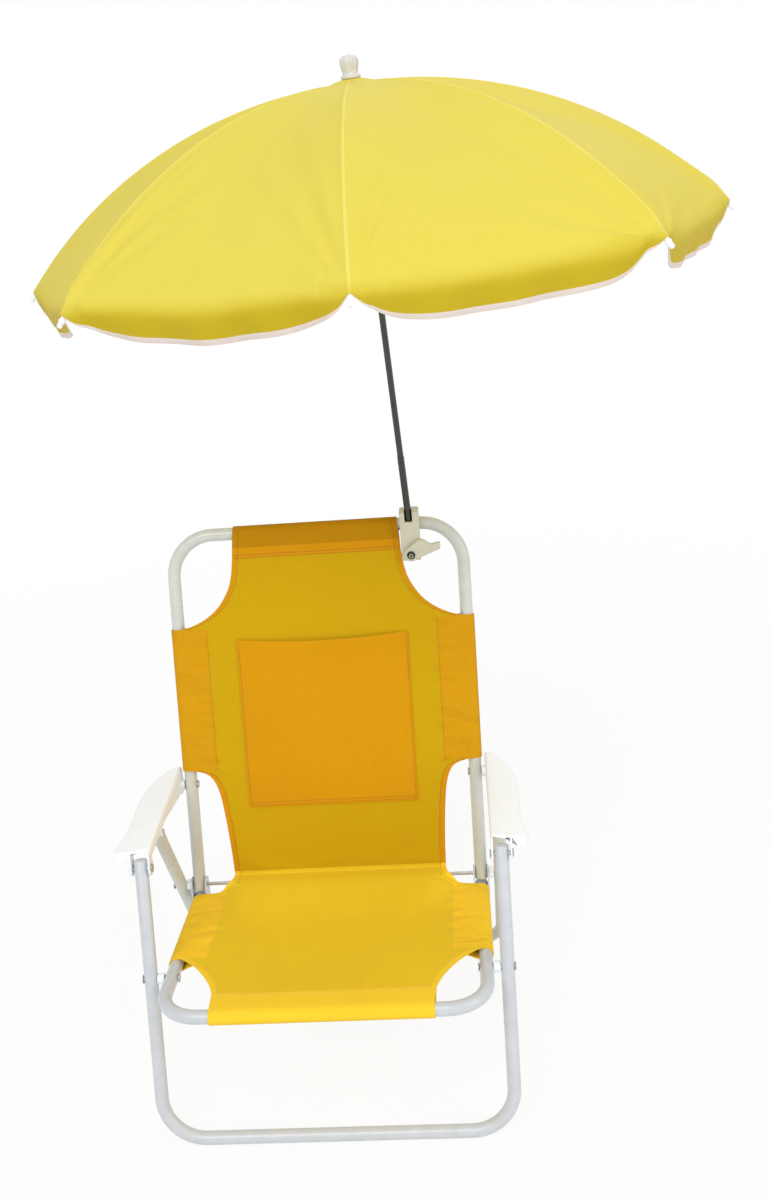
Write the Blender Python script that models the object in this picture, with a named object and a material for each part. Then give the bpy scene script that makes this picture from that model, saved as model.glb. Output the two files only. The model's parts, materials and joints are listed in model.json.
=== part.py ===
"""A child's folding beach chair with a sling seat and a clamp-on umbrella.

Metres, +Z up. The chair faces -Y, and the origin is on the ground below the middle of the front
ground bar. Right is +X, as someone who looks at the chair from the front sees it.

The fold is a parallelogram in the side view: the seat rail and the armrest are its long sides, and
the back and the upper front leg are its short ones. The rear leg turns about the same axle as the
back, and its top slides under the armrest. Each moving body has an empty on its joint's axis.
"""

import math

import bmesh
import bpy
from mathutils import Matrix, Vector

# Clearances
GAP = 0.0003
CUT_OVERRUN = 0.002
MERGE = 0.00001

# Tubes of the chair frame
TUBE_RADIUS = 0.007
TUBE_WALL = 0.001
TUBE_SIDES = 12
TUBE_END = 0.008
BEND_STEPS = 6

# Widths across the chair: the rails' axes, and the space between a rail and its leg
RAIL_X = 0.1615
SIDE_SPACE = 0.0075

# Side view of the linkage
LEAN = math.radians(17.1)
LEG_TO_SEAT = 0.1755
LINK_LENGTH = 0.118
PIVOT_SPACING = 0.162
PIVOT_SLOPE = math.radians(1.55)
RAIL_SLOPE = math.radians(7.4)
SEAT_FRONT = 0.0675
BACK_LENGTH = 0.400
BACK_FOOT = 0.0055
REAR_LEG_LEAN = math.radians(26.3)
REAR_LEG_TOP = 0.125
GROUND_BEND = 0.045
SEAT_BEND = 0.040
BACK_BEND = 0.046

# Pins, rivets and the hinge axle
PIN_RADIUS = 0.0025
HEAD_RADIUS = 0.0045
HEAD_HEIGHT = 0.0012
AXLE_RADIUS = 0.002
WASHER_RADIUS = 0.006
SPACER_RADIUS = 0.0055
PIN_SIDES = 12
PIN_PROUD = 0.0008

# Hinge brackets
EAR_WALL = 0.0015
EAR_RADIUS = 0.009
EAR_STEPS = 6
RAIL_TAIL = 0.006

# Armrests
ARM_RISE = 0.019
ARM_PLATE = 0.0025
ARM_SKIRT = 0.0018
ARM_SKIRT_CLEAR = 0.0017
ARM_RIM_DEPTH = 0.010
ARM_WIDTH = 0.0335
ARM_REAR = 0.010
ARM_FRONT = 0.0025
ARM_REAR_LOBE = 0.0105
ARM_FRONT_LOBE = 0.008
ARM_BOSS_RADIUS = 0.006
ARM_STOP = 0.003
ARM_STOP_HOLD = 0.002
ARM_LOBE_STEPS = 5
# Plan outline, from the rear inner corner round the outside: outward and frontward shares
ARM_PLAN_SHARES = (
    (0.0, 0.0),
    (0.20, 0.0),
    (0.42, 0.045),
    (0.64, 0.12),
    (0.82, 0.21),
    (0.94, 0.32),
    (1.0, 0.44),
    (0.99, 0.60),
    (0.98, 0.78),
    (1.08, 0.885),
    (1.14, 0.95),
    (1.06, 0.995),
    (0.80, 1.0),
    (0.45, 0.98),
    (0.0, 0.95),
)

# Sling
CLOTH = 0.0012
STITCH = 0.033
FLAT_INSET = 0.0045
TOP_HEM = 0.027
TOP_HEM_HALF = 0.0922
TOP_CORNER = 0.043
SLEEVE_TOP = 0.297
SLEEVE_BOTTOM = 0.135
BACK_BOTTOM_HALF = 0.1225
BACK_CORNER = 0.035
CORNER_STEPS = 5
FRONT_HEM = 0.024
FRONT_HEM_HALF = 0.110
SEAT_SLEEVE_FRONT = 0.090
SEAT_REAR_HALF = 0.121
CREASE_FRONT = 0.040
CREASE_BACK = 0.011
CREASE_TOP = 0.085
POCKET_HALF = 0.0955
POCKET_BOTTOM = 0.0885
POCKET_TOP = 0.282
POCKET_SAG = 0.010
POCKET_STEPS = 6

# Umbrella clamp, in the frame of the top rail
CLAMP_X = 0.105
CLAMP_LEAN = math.radians(2.68)
JAW_WIDTH = 0.021
JAW_TOP = 0.0195
JAW_BOTTOM = 0.0365
REAR_JAW_WIDTH = 0.019
REAR_JAW_TOP = 0.0115
REAR_JAW_BOTTOM = 0.0345
REAR_JAW_DEPTH = 0.0120
JAW_SPLIT = 0.0012
JAW_BEVEL = 0.0015
SOCKET_WALL = 0.003
SOCKET_SET_BACK = 0.0022
SOCKET_MOUTH = 0.0075
BOLT_DROP = 0.0277
BOLT_RADIUS = 0.0022
BOLT_HEAD_RADIUS = 0.0045
BOLT_HEAD_HEIGHT = 0.0026
BOLT_HEAD_SHARE = 0.8
BOLT_TAIL = 0.004
NUT_RADIUS = 0.0042
NUT_HEIGHT = 0.0036
NUT_SIDES = 6
LEVER_THICK = 0.006
LEVER_BOSS = 0.0078
LEVER_BEVEL = 0.0007
LEVER_REACH = 0.0315
LEVER_TIP_LOW = 0.0035
LEVER_TIP_HIGH = 0.0100
LEVER_OPENS = math.radians(62)
LEVER_CLOSES = math.radians(304)
LEVER_STEPS = 12

# Umbrella pole, measured up from the level of the top rail
POLE_LEAN = math.radians(-3.19)
LOWER_POLE_RADIUS = 0.0037
LOWER_POLE_WALL = 0.0008
POLE_FOOT = 0.0185
POLE_JOINT = 0.079
SPIGOT_LENGTH = 0.022
SPIGOT_RADIUS = 0.0025
UPPER_POLE_RADIUS = 0.0033
UPPER_POLE_WALL = 0.0007
POLE_END_RISE = 0.0102
POLE_SIDES = 12
BUTTON_DROP = 0.006
BUTTON_RADIUS = 0.0012
BUTTON_PROUD = 0.0008

# Umbrella
RIB_COUNT = 8
RIM_RADIUS = 0.350
RIM_FALL = 0.1515
HUB_RADIUS = 0.0082
HUB_HEIGHT = 0.4455
RIB_BOW = 0.040
RIB_RADIUS = 0.0013
RIB_SIDES = 6
RIB_STEPS = 10
RIB_INNER_END = 0.0018
TIP_RADIUS = 0.0018
TIP_LENGTH = 0.008
TIP_CLEAR = 0.0008
STRETCHER_STEP = 4
STRETCHER_RADIUS = 0.0011
STRETCHER_END = 0.0005
TAB_LENGTH = 0.005
TAB_THICK = 0.0009
NOTCH_RADIUS = 0.0112
NOTCH_HEIGHT = 0.006
NOTCH_SLOT = 0.0034
NOTCH_SLOT_FLOOR = 0.0056
RUNNER_RADIUS = 0.0054
RUNNER_SLEEVE = 0.022
CLOSE_ANGLE = math.radians(62)

# Canopy
CANOPY_CLOTH = 0.0006
CANOPY_LIFT = 0.001
CANOPY_HOLE = 0.0042
CANOPY_EYE = 0.0135
PANEL_STEPS = 4
CANOPY_DIP = 0.010
VALANCE_DROP = 0.027
VALANCE_IN = 0.010
VALANCE_POWER = 6

# Finial
FINIAL_FLANGE = 0.0094
FINIAL_FLANGE_HEIGHT = 0.0042
FINIAL_RADIUS = 0.0090
FINIAL_NECK = 0.0078
FINIAL_HEIGHT = 0.0255
FINIAL_SIDES = 16
FINIAL_STEPS = 5

UP = Vector((0, 0, 1))
ACROSS = Vector((1, 0, 0))
SIDES = (("left", -1), ("right", 1))


def side_point(start, angle, distance):
    """The point at a distance from start, at an angle above the rearward direction."""
    along = distance * math.cos(angle)
    return start + Vector((0, along, distance * math.sin(angle)))


# Places in the side view
BAR_HEIGHT = TUBE_RADIUS * math.cos(math.pi / TUBE_SIDES)
BACK_ANGLE = math.pi / 2 - LEAN
SEAT_PIVOT = side_point(Vector((0, 0, BAR_HEIGHT)), BACK_ANGLE, LEG_TO_SEAT)
HINGE = side_point(SEAT_PIVOT, -PIVOT_SLOPE, PIVOT_SPACING)
ARM_PIVOT = side_point(HINGE, BACK_ANGLE, LINK_LENGTH)
TOP_RAIL = side_point(HINGE, BACK_ANGLE, BACK_LENGTH)
SLIDE_PIN = side_point(HINGE, math.pi / 2 + REAR_LEG_LEAN, REAR_LEG_TOP)
REAR_LEG_REACH = (HINGE.z - BAR_HEIGHT) / math.cos(REAR_LEG_LEAN)

SEAT_TURN = Matrix.Rotation(-RAIL_SLOPE, 4, "X")
LEAN_TURN = Matrix.Rotation(-LEAN, 4, "X")
REAR_LEG_TURN = Matrix.Rotation(REAR_LEG_LEAN, 4, "X")
ARM_TURN = Matrix.Rotation(-PIVOT_SLOPE, 4, "X")
CLAMP_TURN = Matrix.Rotation(-CLAMP_LEAN, 4, "X")
POLE_TURN = CLAMP_TURN @ Matrix.Rotation(POLE_LEAN, 4, "Y")

# The hinge in the seat's own frame, and widths across the chair
HINGE_IN_SEAT = SEAT_TURN.inverted() @ (HINGE - SEAT_PIVOT)
LEG_X = RAIL_X + 2 * TUBE_RADIUS + SIDE_SPACE
RAIL_INSIDE = RAIL_X - TUBE_RADIUS
RAIL_OUTSIDE = RAIL_X + TUBE_RADIUS
LEG_INSIDE = LEG_X - TUBE_RADIUS
LEG_OUTSIDE = LEG_X + TUBE_RADIUS
INNER_EAR = RAIL_INSIDE - GAP - EAR_WALL
OUTER_EAR = RAIL_OUTSIDE + GAP + EAR_WALL
SKIRT_OUTSIDE = LEG_INSIDE - ARM_SKIRT_CLEAR
SKIRT_INSIDE = SKIRT_OUTSIDE - ARM_SKIRT
ARM_EAR = LEG_OUTSIDE + ARM_SKIRT_CLEAR
ARM_LENGTH = PIVOT_SPACING + ARM_REAR + ARM_FRONT
SLEEVE_RADIUS = TUBE_RADIUS + GAP + CLOTH
FLAT_HALF = RAIL_X - FLAT_INSET
SOCKET_RADIUS = LOWER_POLE_RADIUS + GAP
SOCKET_FORWARD = TUBE_RADIUS + GAP + SOCKET_SET_BACK + SOCKET_RADIUS
JAW_FRONT = SOCKET_FORWARD + SOCKET_RADIUS + SOCKET_WALL
REAR_JAW_START = JAW_SPLIT / 2
EYE_HEIGHT = HUB_HEIGHT + NOTCH_HEIGHT / 2 + GAP
POLE_TOP = EYE_HEIGHT + POLE_END_RISE

# The rib's arc, in the umbrella's frame: x outwards from the pole, z up the pole
HUB = Vector((HUB_RADIUS, 0, HUB_HEIGHT))
RIB_CHORD = Vector((RIM_RADIUS, 0, HUB_HEIGHT - RIM_FALL)) - HUB
RIB_ARC = (RIB_CHORD.length**2 / 4 + RIB_BOW**2) / (2 * RIB_BOW)
HALF_ARC = math.asin(RIB_CHORD.length / 2 / RIB_ARC)
CHORD_FALL = math.atan2(-RIB_CHORD.z, RIB_CHORD.x)

# Each body's place in the world, by the name of its empty
BODY_PLACES = {}


def clear_scene():
    """Removes what the file starts with."""
    for thing in list(bpy.data.objects):
        bpy.data.objects.remove(thing)


def material(name, colour, roughness, metallic=0.0):
    """A plain Principled material in a linear colour."""
    made = bpy.data.materials.new(name)
    made.use_nodes = True
    shader = made.node_tree.nodes["Principled BSDF"]
    shader.inputs["Base Color"].default_value = (*colour, 1)
    shader.inputs["Roughness"].default_value = roughness
    shader.inputs["Metallic"].default_value = metallic
    return made


def body_empty(name, place, turn, parent=None):
    """An empty on a body's joint axis. The body's pieces are modelled in its frame."""
    empty = bpy.data.objects.new(name + "_body", None)
    bpy.context.scene.collection.objects.link(empty)
    world = Matrix.Translation(place) @ turn
    BODY_PLACES[empty.name] = world
    empty.parent = parent
    empty.matrix_local = BODY_PLACES[parent.name].inverted() @ world if parent else world
    return empty


def add_object(name, shape, body, finish=None):
    """Turns a bmesh into a named object in a body's frame. With no finish it is a hidden cutter."""
    mesh = bpy.data.meshes.new(name)
    bmesh.ops.recalc_face_normals(shape, faces=shape.faces)
    if shape.calc_volume(signed=True) < 0:
        bmesh.ops.reverse_faces(shape, faces=shape.faces)
    shape.to_mesh(mesh)
    shape.free()
    thing = bpy.data.objects.new(name, mesh)
    bpy.context.scene.collection.objects.link(thing)
    thing.parent = body
    if finish:
        mesh.materials.append(finish)
        mesh.shade_smooth()
        mesh.set_sharp_from_angle(angle=math.radians(35))
    else:
        thing.hide_render = True
        thing.display_type = "WIRE"
    return thing


def combine(target, other, operation="DIFFERENCE"):
    """Cuts a hidden helper from target, or joins it on."""
    modifier = target.modifiers.new(other.name, "BOOLEAN")
    modifier.operation = operation
    modifier.object = other


def turned(profile, place, axis, sides, closed=False):
    """A turned shape: profile points are (radius, distance along the axis).

    An open profile starts and ends on the axis, and a closed one is a ring's section.
    """
    shape = bmesh.new()
    verts = [shape.verts.new((radius, 0, along)) for radius, along in profile]
    edges = [shape.edges.new(pair) for pair in zip(verts, verts[1:])]
    if closed:
        edges.append(shape.edges.new((verts[-1], verts[0])))
    bmesh.ops.spin(
        shape, geom=verts + edges, cent=(0, 0, 0), axis=UP, angle=math.tau, steps=sides, use_merge=True
    )
    bmesh.ops.remove_doubles(shape, verts=shape.verts, dist=MERGE)
    turn = UP.rotation_difference(Vector(axis)).to_matrix().to_4x4()
    shape.transform(Matrix.Translation(place) @ turn)
    return shape


def ring(inner, outer, low, high):
    """The section of a washer or a sleeve."""
    return ((outer, low), (outer, high), (inner, high), (inner, low))


def rod(radius, start, end, sides=PIN_SIDES):
    """A plain round bar between two points."""
    start, end = Vector(start), Vector(end)
    length = (end - start).length
    return turned(((0, 0), (radius, 0), (radius, length), (0, length)), start, end - start, sides)


def rivet(radius, low, high, place, sign):
    """A pin across the chair with a flat head at either end."""
    profile = (
        (0, low - HEAD_HEIGHT),
        (HEAD_RADIUS, low - HEAD_HEIGHT),
        (HEAD_RADIUS, low),
        (radius, low),
        (radius, high),
        (HEAD_RADIUS, high),
        (HEAD_RADIUS, high + HEAD_HEIGHT),
        (0, high + HEAD_HEIGHT),
    )
    return turned(profile, place, ACROSS * sign, PIN_SIDES)


def prism(outline, depth):
    """A flat outline of points, extruded along a vector."""
    shape = bmesh.new()
    face = shape.faces.new([shape.verts.new(point) for point in outline])
    grown = bmesh.ops.extrude_face_region(shape, geom=[face])["geom"]
    moved = [item for item in grown if isinstance(item, bmesh.types.BMVert)]
    bmesh.ops.translate(shape, verts=moved, vec=depth)
    return shape


def block(corner, opposite):
    """A box between two opposite corners."""
    corner, opposite = Vector(corner), Vector(opposite)
    shape = bmesh.new()
    bmesh.ops.create_cube(shape, size=1)
    bmesh.ops.scale(shape, vec=[abs(side) for side in opposite - corner], verts=shape.verts)
    bmesh.ops.translate(shape, vec=(corner + opposite) / 2, verts=shape.verts)
    return shape


def arc(centre, radius, start, end, steps):
    """Points on a circle, as pairs."""
    angles = [start + (end - start) * step / steps for step in range(steps + 1)]
    x, y = centre
    return [(x + radius * math.cos(angle), y + radius * math.sin(angle)) for angle in angles]


class TubePath:
    """A round tube grown from a ring, along straight runs and round bends in one plane."""

    def __init__(self, start, direction, side, phase):
        self.shape = bmesh.new()
        self.centre = Vector(start)
        self.direction = Vector(direction).normalized()
        self.side = Vector(side).normalized()
        across = self.direction.cross(self.side)
        verts = bmesh.ops.create_circle(self.shape, segments=TUBE_SIDES, radius=TUBE_RADIUS)["verts"]
        frame = Matrix((self.side, across, self.direction)).transposed().to_4x4()
        turn = Matrix.Translation(self.centre) @ frame @ Matrix.Rotation(phase, 4, "Z")
        bmesh.ops.transform(self.shape, matrix=turn, verts=verts)
        self.edges = list(self.shape.edges)

    def run(self, length):
        """Grows the tube straight on."""
        grown = bmesh.ops.extrude_edge_only(self.shape, edges=self.edges)["geom"]
        verts = {item for item in grown if isinstance(item, bmesh.types.BMVert)}
        bmesh.ops.translate(self.shape, verts=list(verts), vec=self.direction * length)
        edges = [item for item in grown if isinstance(item, bmesh.types.BMEdge)]
        self.edges = [edge for edge in edges if verts.issuperset(edge.verts)]
        self.centre = self.centre + self.direction * length
        return self

    def bend(self, radius, angle):
        """Bends the tube about its side axis, by the right-hand rule."""
        centre = self.centre + self.side.cross(self.direction) * math.copysign(radius, angle)
        verts = list({vert for edge in self.edges for vert in edge.verts})
        last = bmesh.ops.spin(
            self.shape, geom=verts + self.edges, cent=centre, axis=self.side, angle=angle, steps=BEND_STEPS
        )["geom_last"]
        self.edges = [item for item in last if isinstance(item, bmesh.types.BMEdge)]
        turn = Matrix.Rotation(angle, 3, self.side)
        self.centre = centre + turn @ (self.centre - centre)
        self.direction = turn @ self.direction
        return self


def u_tube(name, body, finish, half, start, crossbar, bend, phase=0):
    """A U of tube: from start to the crossbar on one side, across, and back on the other.

    start and crossbar are points at the middle plane, and half is the arms' distance from it.
    """
    start, crossbar = Vector(start), Vector(crossbar)
    along = (crossbar - start).normalized()
    arm = (crossbar - start).length - bend
    path = TubePath(start - ACROSS * half, along, along.cross(ACROSS), phase)
    path.run(arm).bend(bend, math.pi / 2)
    path.run(2 * (half - bend)).bend(bend, math.pi / 2).run(arm)
    thing = add_object(name, path.shape, body, finish)
    wall = thing.modifiers.new("wall", "SOLIDIFY")
    wall.thickness = TUBE_WALL
    wall.offset = -1
    wall.use_even_offset = True
    return thing


def bore(target, body, place, radius, reach):
    """Cuts a round hole across the chair, at a place in the body's frame."""
    start = Vector(place) - ACROSS * reach
    end = Vector(place) + ACROSS * reach
    combine(target, add_object(target.name + "_bore", rod(radius, start, end), body))


def make_front_leg(body, finish, steel):
    """The front legs with their ground bar, one bent tube, and the rivets at the armrests."""
    top = Vector((0, 0, LINK_LENGTH + TUBE_END))
    bar = Vector((0, 0, -LEG_TO_SEAT))
    # The ring is turned so that one facet of the ground bar lies flat on the ground.
    leg = u_tube("front_leg_frame", body, finish, LEG_X, top, bar, GROUND_BEND, math.pi / TUBE_SIDES + LEAN)
    for side, sign in SIDES:
        for height in (0, LINK_LENGTH):
            bore(leg, body, (sign * LEG_X, 0, height), PIN_RADIUS + GAP, TUBE_RADIUS + CUT_OVERRUN)
        low, high = SKIRT_INSIDE - GAP, ARM_EAR + ARM_SKIRT + GAP
        shape = rivet(PIN_RADIUS, low, high, (0, 0, LINK_LENGTH), sign)
        add_object(side + "_arm_rivet", shape, body, steel)


def make_rear_leg(body, finish, steel):
    """The rear legs with their ground bar, and the pins that slide under the armrests."""
    top = Vector((0, 0, REAR_LEG_TOP + TUBE_END))
    bar = Vector((0, 0, -REAR_LEG_REACH))
    phase = math.pi / TUBE_SIDES - REAR_LEG_LEAN
    leg = u_tube("rear_leg_frame", body, finish, LEG_X, top, bar, GROUND_BEND, phase)
    for side, sign in SIDES:
        reach = TUBE_RADIUS + CUT_OVERRUN
        bore(leg, body, (sign * LEG_X, 0, 0), AXLE_RADIUS + GAP, reach)
        bore(leg, body, (sign * LEG_X, 0, REAR_LEG_TOP), PIN_RADIUS + GAP, reach)
        start = ((LEG_INSIDE - PIN_PROUD) * sign, 0, REAR_LEG_TOP)
        end = ((LEG_OUTSIDE + PIN_PROUD) * sign, 0, REAR_LEG_TOP)
        add_object(side + "_slide_pin", rod(PIN_RADIUS, start, end), body, steel)


def make_seat_frame(body, finish, plastic, steel):
    """The seat's bent tube with its rivets, spacers, washers, brackets and the hinge axle."""
    rear = Vector((0, HINGE_IN_SEAT.y + RAIL_TAIL, 0))
    front = Vector((0, -SEAT_FRONT, 0))
    rail = u_tube("seat_frame", body, finish, RAIL_X, rear, front, SEAT_BEND)
    for side, sign in SIDES:
        bore(rail, body, (sign * RAIL_X, 0, 0), PIN_RADIUS + GAP, TUBE_RADIUS + CUT_OVERRUN)
        shape = rivet(PIN_RADIUS, RAIL_INSIDE - GAP, LEG_OUTSIDE + GAP, (0, 0, 0), sign)
        add_object(side + "_leg_rivet", shape, body, steel)
        section = ring(PIN_RADIUS + GAP, SPACER_RADIUS, RAIL_OUTSIDE + GAP, LEG_INSIDE - GAP)
        shape = turned(section, (0, 0, 0), ACROSS * sign, PIN_SIDES, closed=True)
        add_object(side + "_leg_spacer", shape, body, plastic)
        section = ring(AXLE_RADIUS + GAP, WASHER_RADIUS, OUTER_EAR + GAP, LEG_INSIDE - GAP)
        shape = turned(section, HINGE_IN_SEAT, ACROSS * sign, PIN_SIDES, closed=True)
        add_object(side + "_hinge_washer", shape, body, plastic)
        make_bracket(side, sign, body, finish)
    high = LEG_OUTSIDE + GAP
    add_object("hinge_axle", rivet(AXLE_RADIUS, -high, high, HINGE_IN_SEAT, 1), body, steel)


def make_bracket(side, sign, body, finish):
    """A steel U round the rail's rear end, whose two ears carry the hinge above it."""
    floor = -TUBE_RADIUS - GAP
    middle, rise = HINGE_IN_SEAT.yz
    rear, front = middle + EAR_RADIUS, middle - EAR_RADIUS
    under = floor - EAR_WALL
    profile = [(rear, under), *arc((middle, rise), EAR_RADIUS, 0, math.pi, EAR_STEPS), (front, under)]
    outline = [(INNER_EAR * sign, along, up) for along, up in profile]
    shape = prism(outline, ACROSS * sign * (OUTER_EAR - INNER_EAR))
    bracket = add_object(side + "_hinge_bracket", shape, body, finish)
    corner = ((RAIL_INSIDE - GAP) * sign, front - CUT_OVERRUN, floor)
    opposite = ((RAIL_OUTSIDE + GAP) * sign, rear + CUT_OVERRUN, rise + EAR_RADIUS + CUT_OVERRUN)
    combine(bracket, add_object(side + "_bracket_slot", block(corner, opposite), body))
    reach = OUTER_EAR - RAIL_X + CUT_OVERRUN
    bore(bracket, body, (sign * RAIL_X, middle, rise), AXLE_RADIUS + GAP, reach)


def make_back_frame(body, finish, steel):
    """The back's bent tube and the rivets at the rear of the armrests."""
    foot = Vector((0, 0, -BACK_FOOT))
    top = Vector((0, 0, BACK_LENGTH))
    frame = u_tube("back_frame", body, finish, RAIL_X, foot, top, BACK_BEND)
    for side, sign in SIDES:
        reach = TUBE_RADIUS + CUT_OVERRUN
        bore(frame, body, (sign * RAIL_X, 0, 0), AXLE_RADIUS + GAP, reach)
        bore(frame, body, (sign * RAIL_X, 0, LINK_LENGTH), PIN_RADIUS + GAP, reach)
        shape = rivet(PIN_RADIUS, RAIL_INSIDE - GAP, SKIRT_OUTSIDE + GAP, (0, 0, LINK_LENGTH), sign)
        add_object(side + "_back_rivet", shape, body, steel)


def arm_plan(sign, inset, height):
    """The armrest's plan outline at a height, drawn in by inset on every side."""
    points = []
    for outward, frontward in ARM_PLAN_SHARES:
        across = SKIRT_INSIDE + inset + outward * (ARM_WIDTH - 2 * inset)
        along = ARM_REAR - inset - frontward * (ARM_LENGTH - 2 * inset)
        points.append((across * sign, along, height))
    return points


def arm_skirt_outline(across):
    """The inner skirt in the side view: the rear pivot's lobe, a shallow edge and the front lobe."""
    edge = ARM_RISE - ARM_RIM_DEPTH
    plate = ARM_RISE - ARM_PLATE / 2
    rear = arc((0, 0), ARM_REAR_LOBE, 0, -math.radians(145), ARM_LOBE_STEPS)
    front = arc((-PIVOT_SPACING, 0), ARM_FRONT_LOBE, 0, -math.pi, ARM_LOBE_STEPS)
    profile = [(ARM_REAR - ARM_SKIRT, plate), *rear, (SLIDE_PIN.y - ARM_PIVOT.y, edge)]
    profile += [(front[0][0], edge), *front, (-PIVOT_SPACING - ARM_FRONT, plate)]
    return [(across, along, up) for along, up in profile]


def make_armrest(side, sign, body, finish):
    """An armrest: a top plate with a shallow rim, and an inner skirt that carries the pivots."""
    down = -UP
    shape = prism(arm_plan(sign, 0, ARM_RISE), down * ARM_RIM_DEPTH)
    arm = add_object(side + "_armrest", shape, body, finish)
    shape = prism(arm_plan(sign, ARM_SKIRT, ARM_RISE - ARM_PLATE), down * ARM_RIM_DEPTH)
    combine(arm, add_object(side + "_arm_cavity", shape, body))
    corner = (SKIRT_OUTSIDE * sign, ARM_REAR + CUT_OVERRUN, ARM_RISE - ARM_PLATE)
    opposite = (ARM_EAR * sign, ARM_REAR - ARM_LENGTH - CUT_OVERRUN, ARM_RISE - ARM_RIM_DEPTH - CUT_OVERRUN)
    combine(arm, add_object(side + "_arm_channel", block(corner, opposite), body))

    shape = prism(arm_skirt_outline(SKIRT_INSIDE * sign), ACROSS * sign * ARM_SKIRT)
    combine(arm, add_object(side + "_arm_skirt", shape, body), "UNION")
    plate = ARM_RISE - ARM_PLATE / 2
    front = -PIVOT_SPACING
    lobe = arc((front, 0), ARM_FRONT_LOBE, 0, -math.pi, ARM_LOBE_STEPS)
    profile = [(front + ARM_FRONT_LOBE, plate), *lobe, (front - ARM_FRONT, plate)]
    outline = [(ARM_EAR * sign, along, up) for along, up in profile]
    ear = add_object(side + "_arm_ear", prism(outline, ACROSS * sign * ARM_SKIRT), body)
    combine(arm, ear, "UNION")
    start = ((RAIL_OUTSIDE + GAP) * sign, 0, 0)
    end = ((SKIRT_INSIDE + ARM_SKIRT / 2) * sign, 0, 0)
    boss = add_object(side + "_arm_boss", rod(ARM_BOSS_RADIUS, start, end), body)
    combine(arm, boss, "UNION")

    # The stop meets the rear leg's upper front corner when the chair is open.
    corner = REAR_LEG_TURN @ Vector((0, -TUBE_RADIUS, REAR_LEG_TOP + TUBE_END)) + HINGE
    corner = ARM_TURN.inverted() @ (corner - ARM_PIVOT)
    face = corner.y - GAP
    low = corner.z - ARM_STOP_HOLD
    inside = (SKIRT_OUTSIDE - ARM_SKIRT / 2) * sign
    shape = block((inside, face, low), (LEG_OUTSIDE * sign, face - ARM_STOP, plate))
    combine(arm, add_object(side + "_arm_stop", shape, body), "UNION")
    bore(arm, body, (SKIRT_OUTSIDE * sign, 0, 0), PIN_RADIUS + GAP, TUBE_RADIUS)
    reach = LEG_X - SKIRT_INSIDE + CUT_OVERRUN
    bore(arm, body, (LEG_X * sign, front, 0), PIN_RADIUS + GAP, reach)


def sleeve(name, body, stitch, low, high, to_frame):
    """A sewn sleeve: round its tube, and drawn together to two layers at the stitch line.

    Its points are (across from the tube axis, along the tube, in front of the tube axis).
    """
    section = arc((0, 0), SLEEVE_RADIUS, math.pi / 2, -math.pi / 2, TUBE_SIDES // 2)
    section += [(-stitch, SLEEVE_RADIUS - 2 * CLOTH), (-stitch, SLEEVE_RADIUS)]
    outline = [to_frame(across, low, front) for across, front in section]
    depth = Vector(to_frame(0, high, 0)) - Vector(to_frame(0, low, 0))
    return add_object(name, prism(outline, depth), body)


def hollow_corner(start, end):
    """Points of a quarter-round cut-out in cloth, leaving start along the chair and reaching end across."""
    points = []
    for step in range(CORNER_STEPS + 1):
        angle = math.pi / 2 * step / CORNER_STEPS
        across = end[0] + (start[0] - end[0]) * math.cos(angle)
        along = start[1] + (end[1] - start[1]) * math.sin(angle)
        points.append((across, along))
    return points


def mirrored(points):
    """The outline's right half, followed by its mirror image."""
    return list(points) + [(-across, along) for across, along in reversed(points)]


def make_sleeves(sling, body, runs):
    """Joins sleeves to a sling and bores each for its tube. A run is (name, stitch, low, high, place)."""
    for name, stitch, low, high, to_frame in runs:
        combine(sling, sleeve(name, body, stitch, low, high, to_frame), "UNION")
    for name, _, low, high, to_frame in runs:
        start = to_frame(0, low - CUT_OVERRUN, 0)
        end = to_frame(0, high + CUT_OVERRUN, 0)
        cutter = add_object(name + "_bore", rod(TUBE_RADIUS + GAP, start, end, 2 * TUBE_SIDES), body)
        combine(sling, cutter)


def make_back_sling(body, cloth, pocket_cloth):
    """The back's cloth, sewn round the side tubes and the top rail, and its pocket."""
    corner_end = (FLAT_HALF, SLEEVE_BOTTOM)
    right = [(BACK_BOTTOM_HALF, CREASE_TOP)]
    right += hollow_corner((BACK_BOTTOM_HALF + FLAT_INSET, SLEEVE_BOTTOM - BACK_CORNER), corner_end)
    top_corner = (TOP_HEM_HALF, BACK_LENGTH - TOP_CORNER)
    right += reversed(hollow_corner(top_corner, (FLAT_HALF, SLEEVE_TOP)))
    right.append((TOP_HEM_HALF, BACK_LENGTH))
    outline = [(across, -SLEEVE_RADIUS, up) for across, up in mirrored(right)]
    sling = add_object("back_sling", prism(outline, Vector((0, CLOTH, 0))), body, cloth)
    runs = [
        (
            "top_sleeve", TOP_HEM, -TOP_HEM_HALF, TOP_HEM_HALF,
            lambda across, along, front: (along, -front, BACK_LENGTH + across),
        )
    ]
    for side, sign in SIDES:
        runs.append((
            side + "_back_sleeve", STITCH, SLEEVE_BOTTOM, SLEEVE_TOP,
            lambda across, along, front, sign=sign: ((RAIL_X + across) * sign, -front, along),
        ))
    make_sleeves(sling, body, runs)

    front = -SLEEVE_RADIUS - GAP
    outline = [(-POCKET_HALF, front, POCKET_BOTTOM), (POCKET_HALF, front, POCKET_BOTTOM)]
    for step in range(POCKET_STEPS + 1):
        share = step / POCKET_STEPS
        across = POCKET_HALF * (1 - 2 * share)
        outline.append((across, front, POCKET_TOP - POCKET_SAG * math.sin(math.pi * share)))
    add_object("back_pocket", prism(outline, Vector((0, -CLOTH, 0))), body, pocket_cloth)


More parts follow.
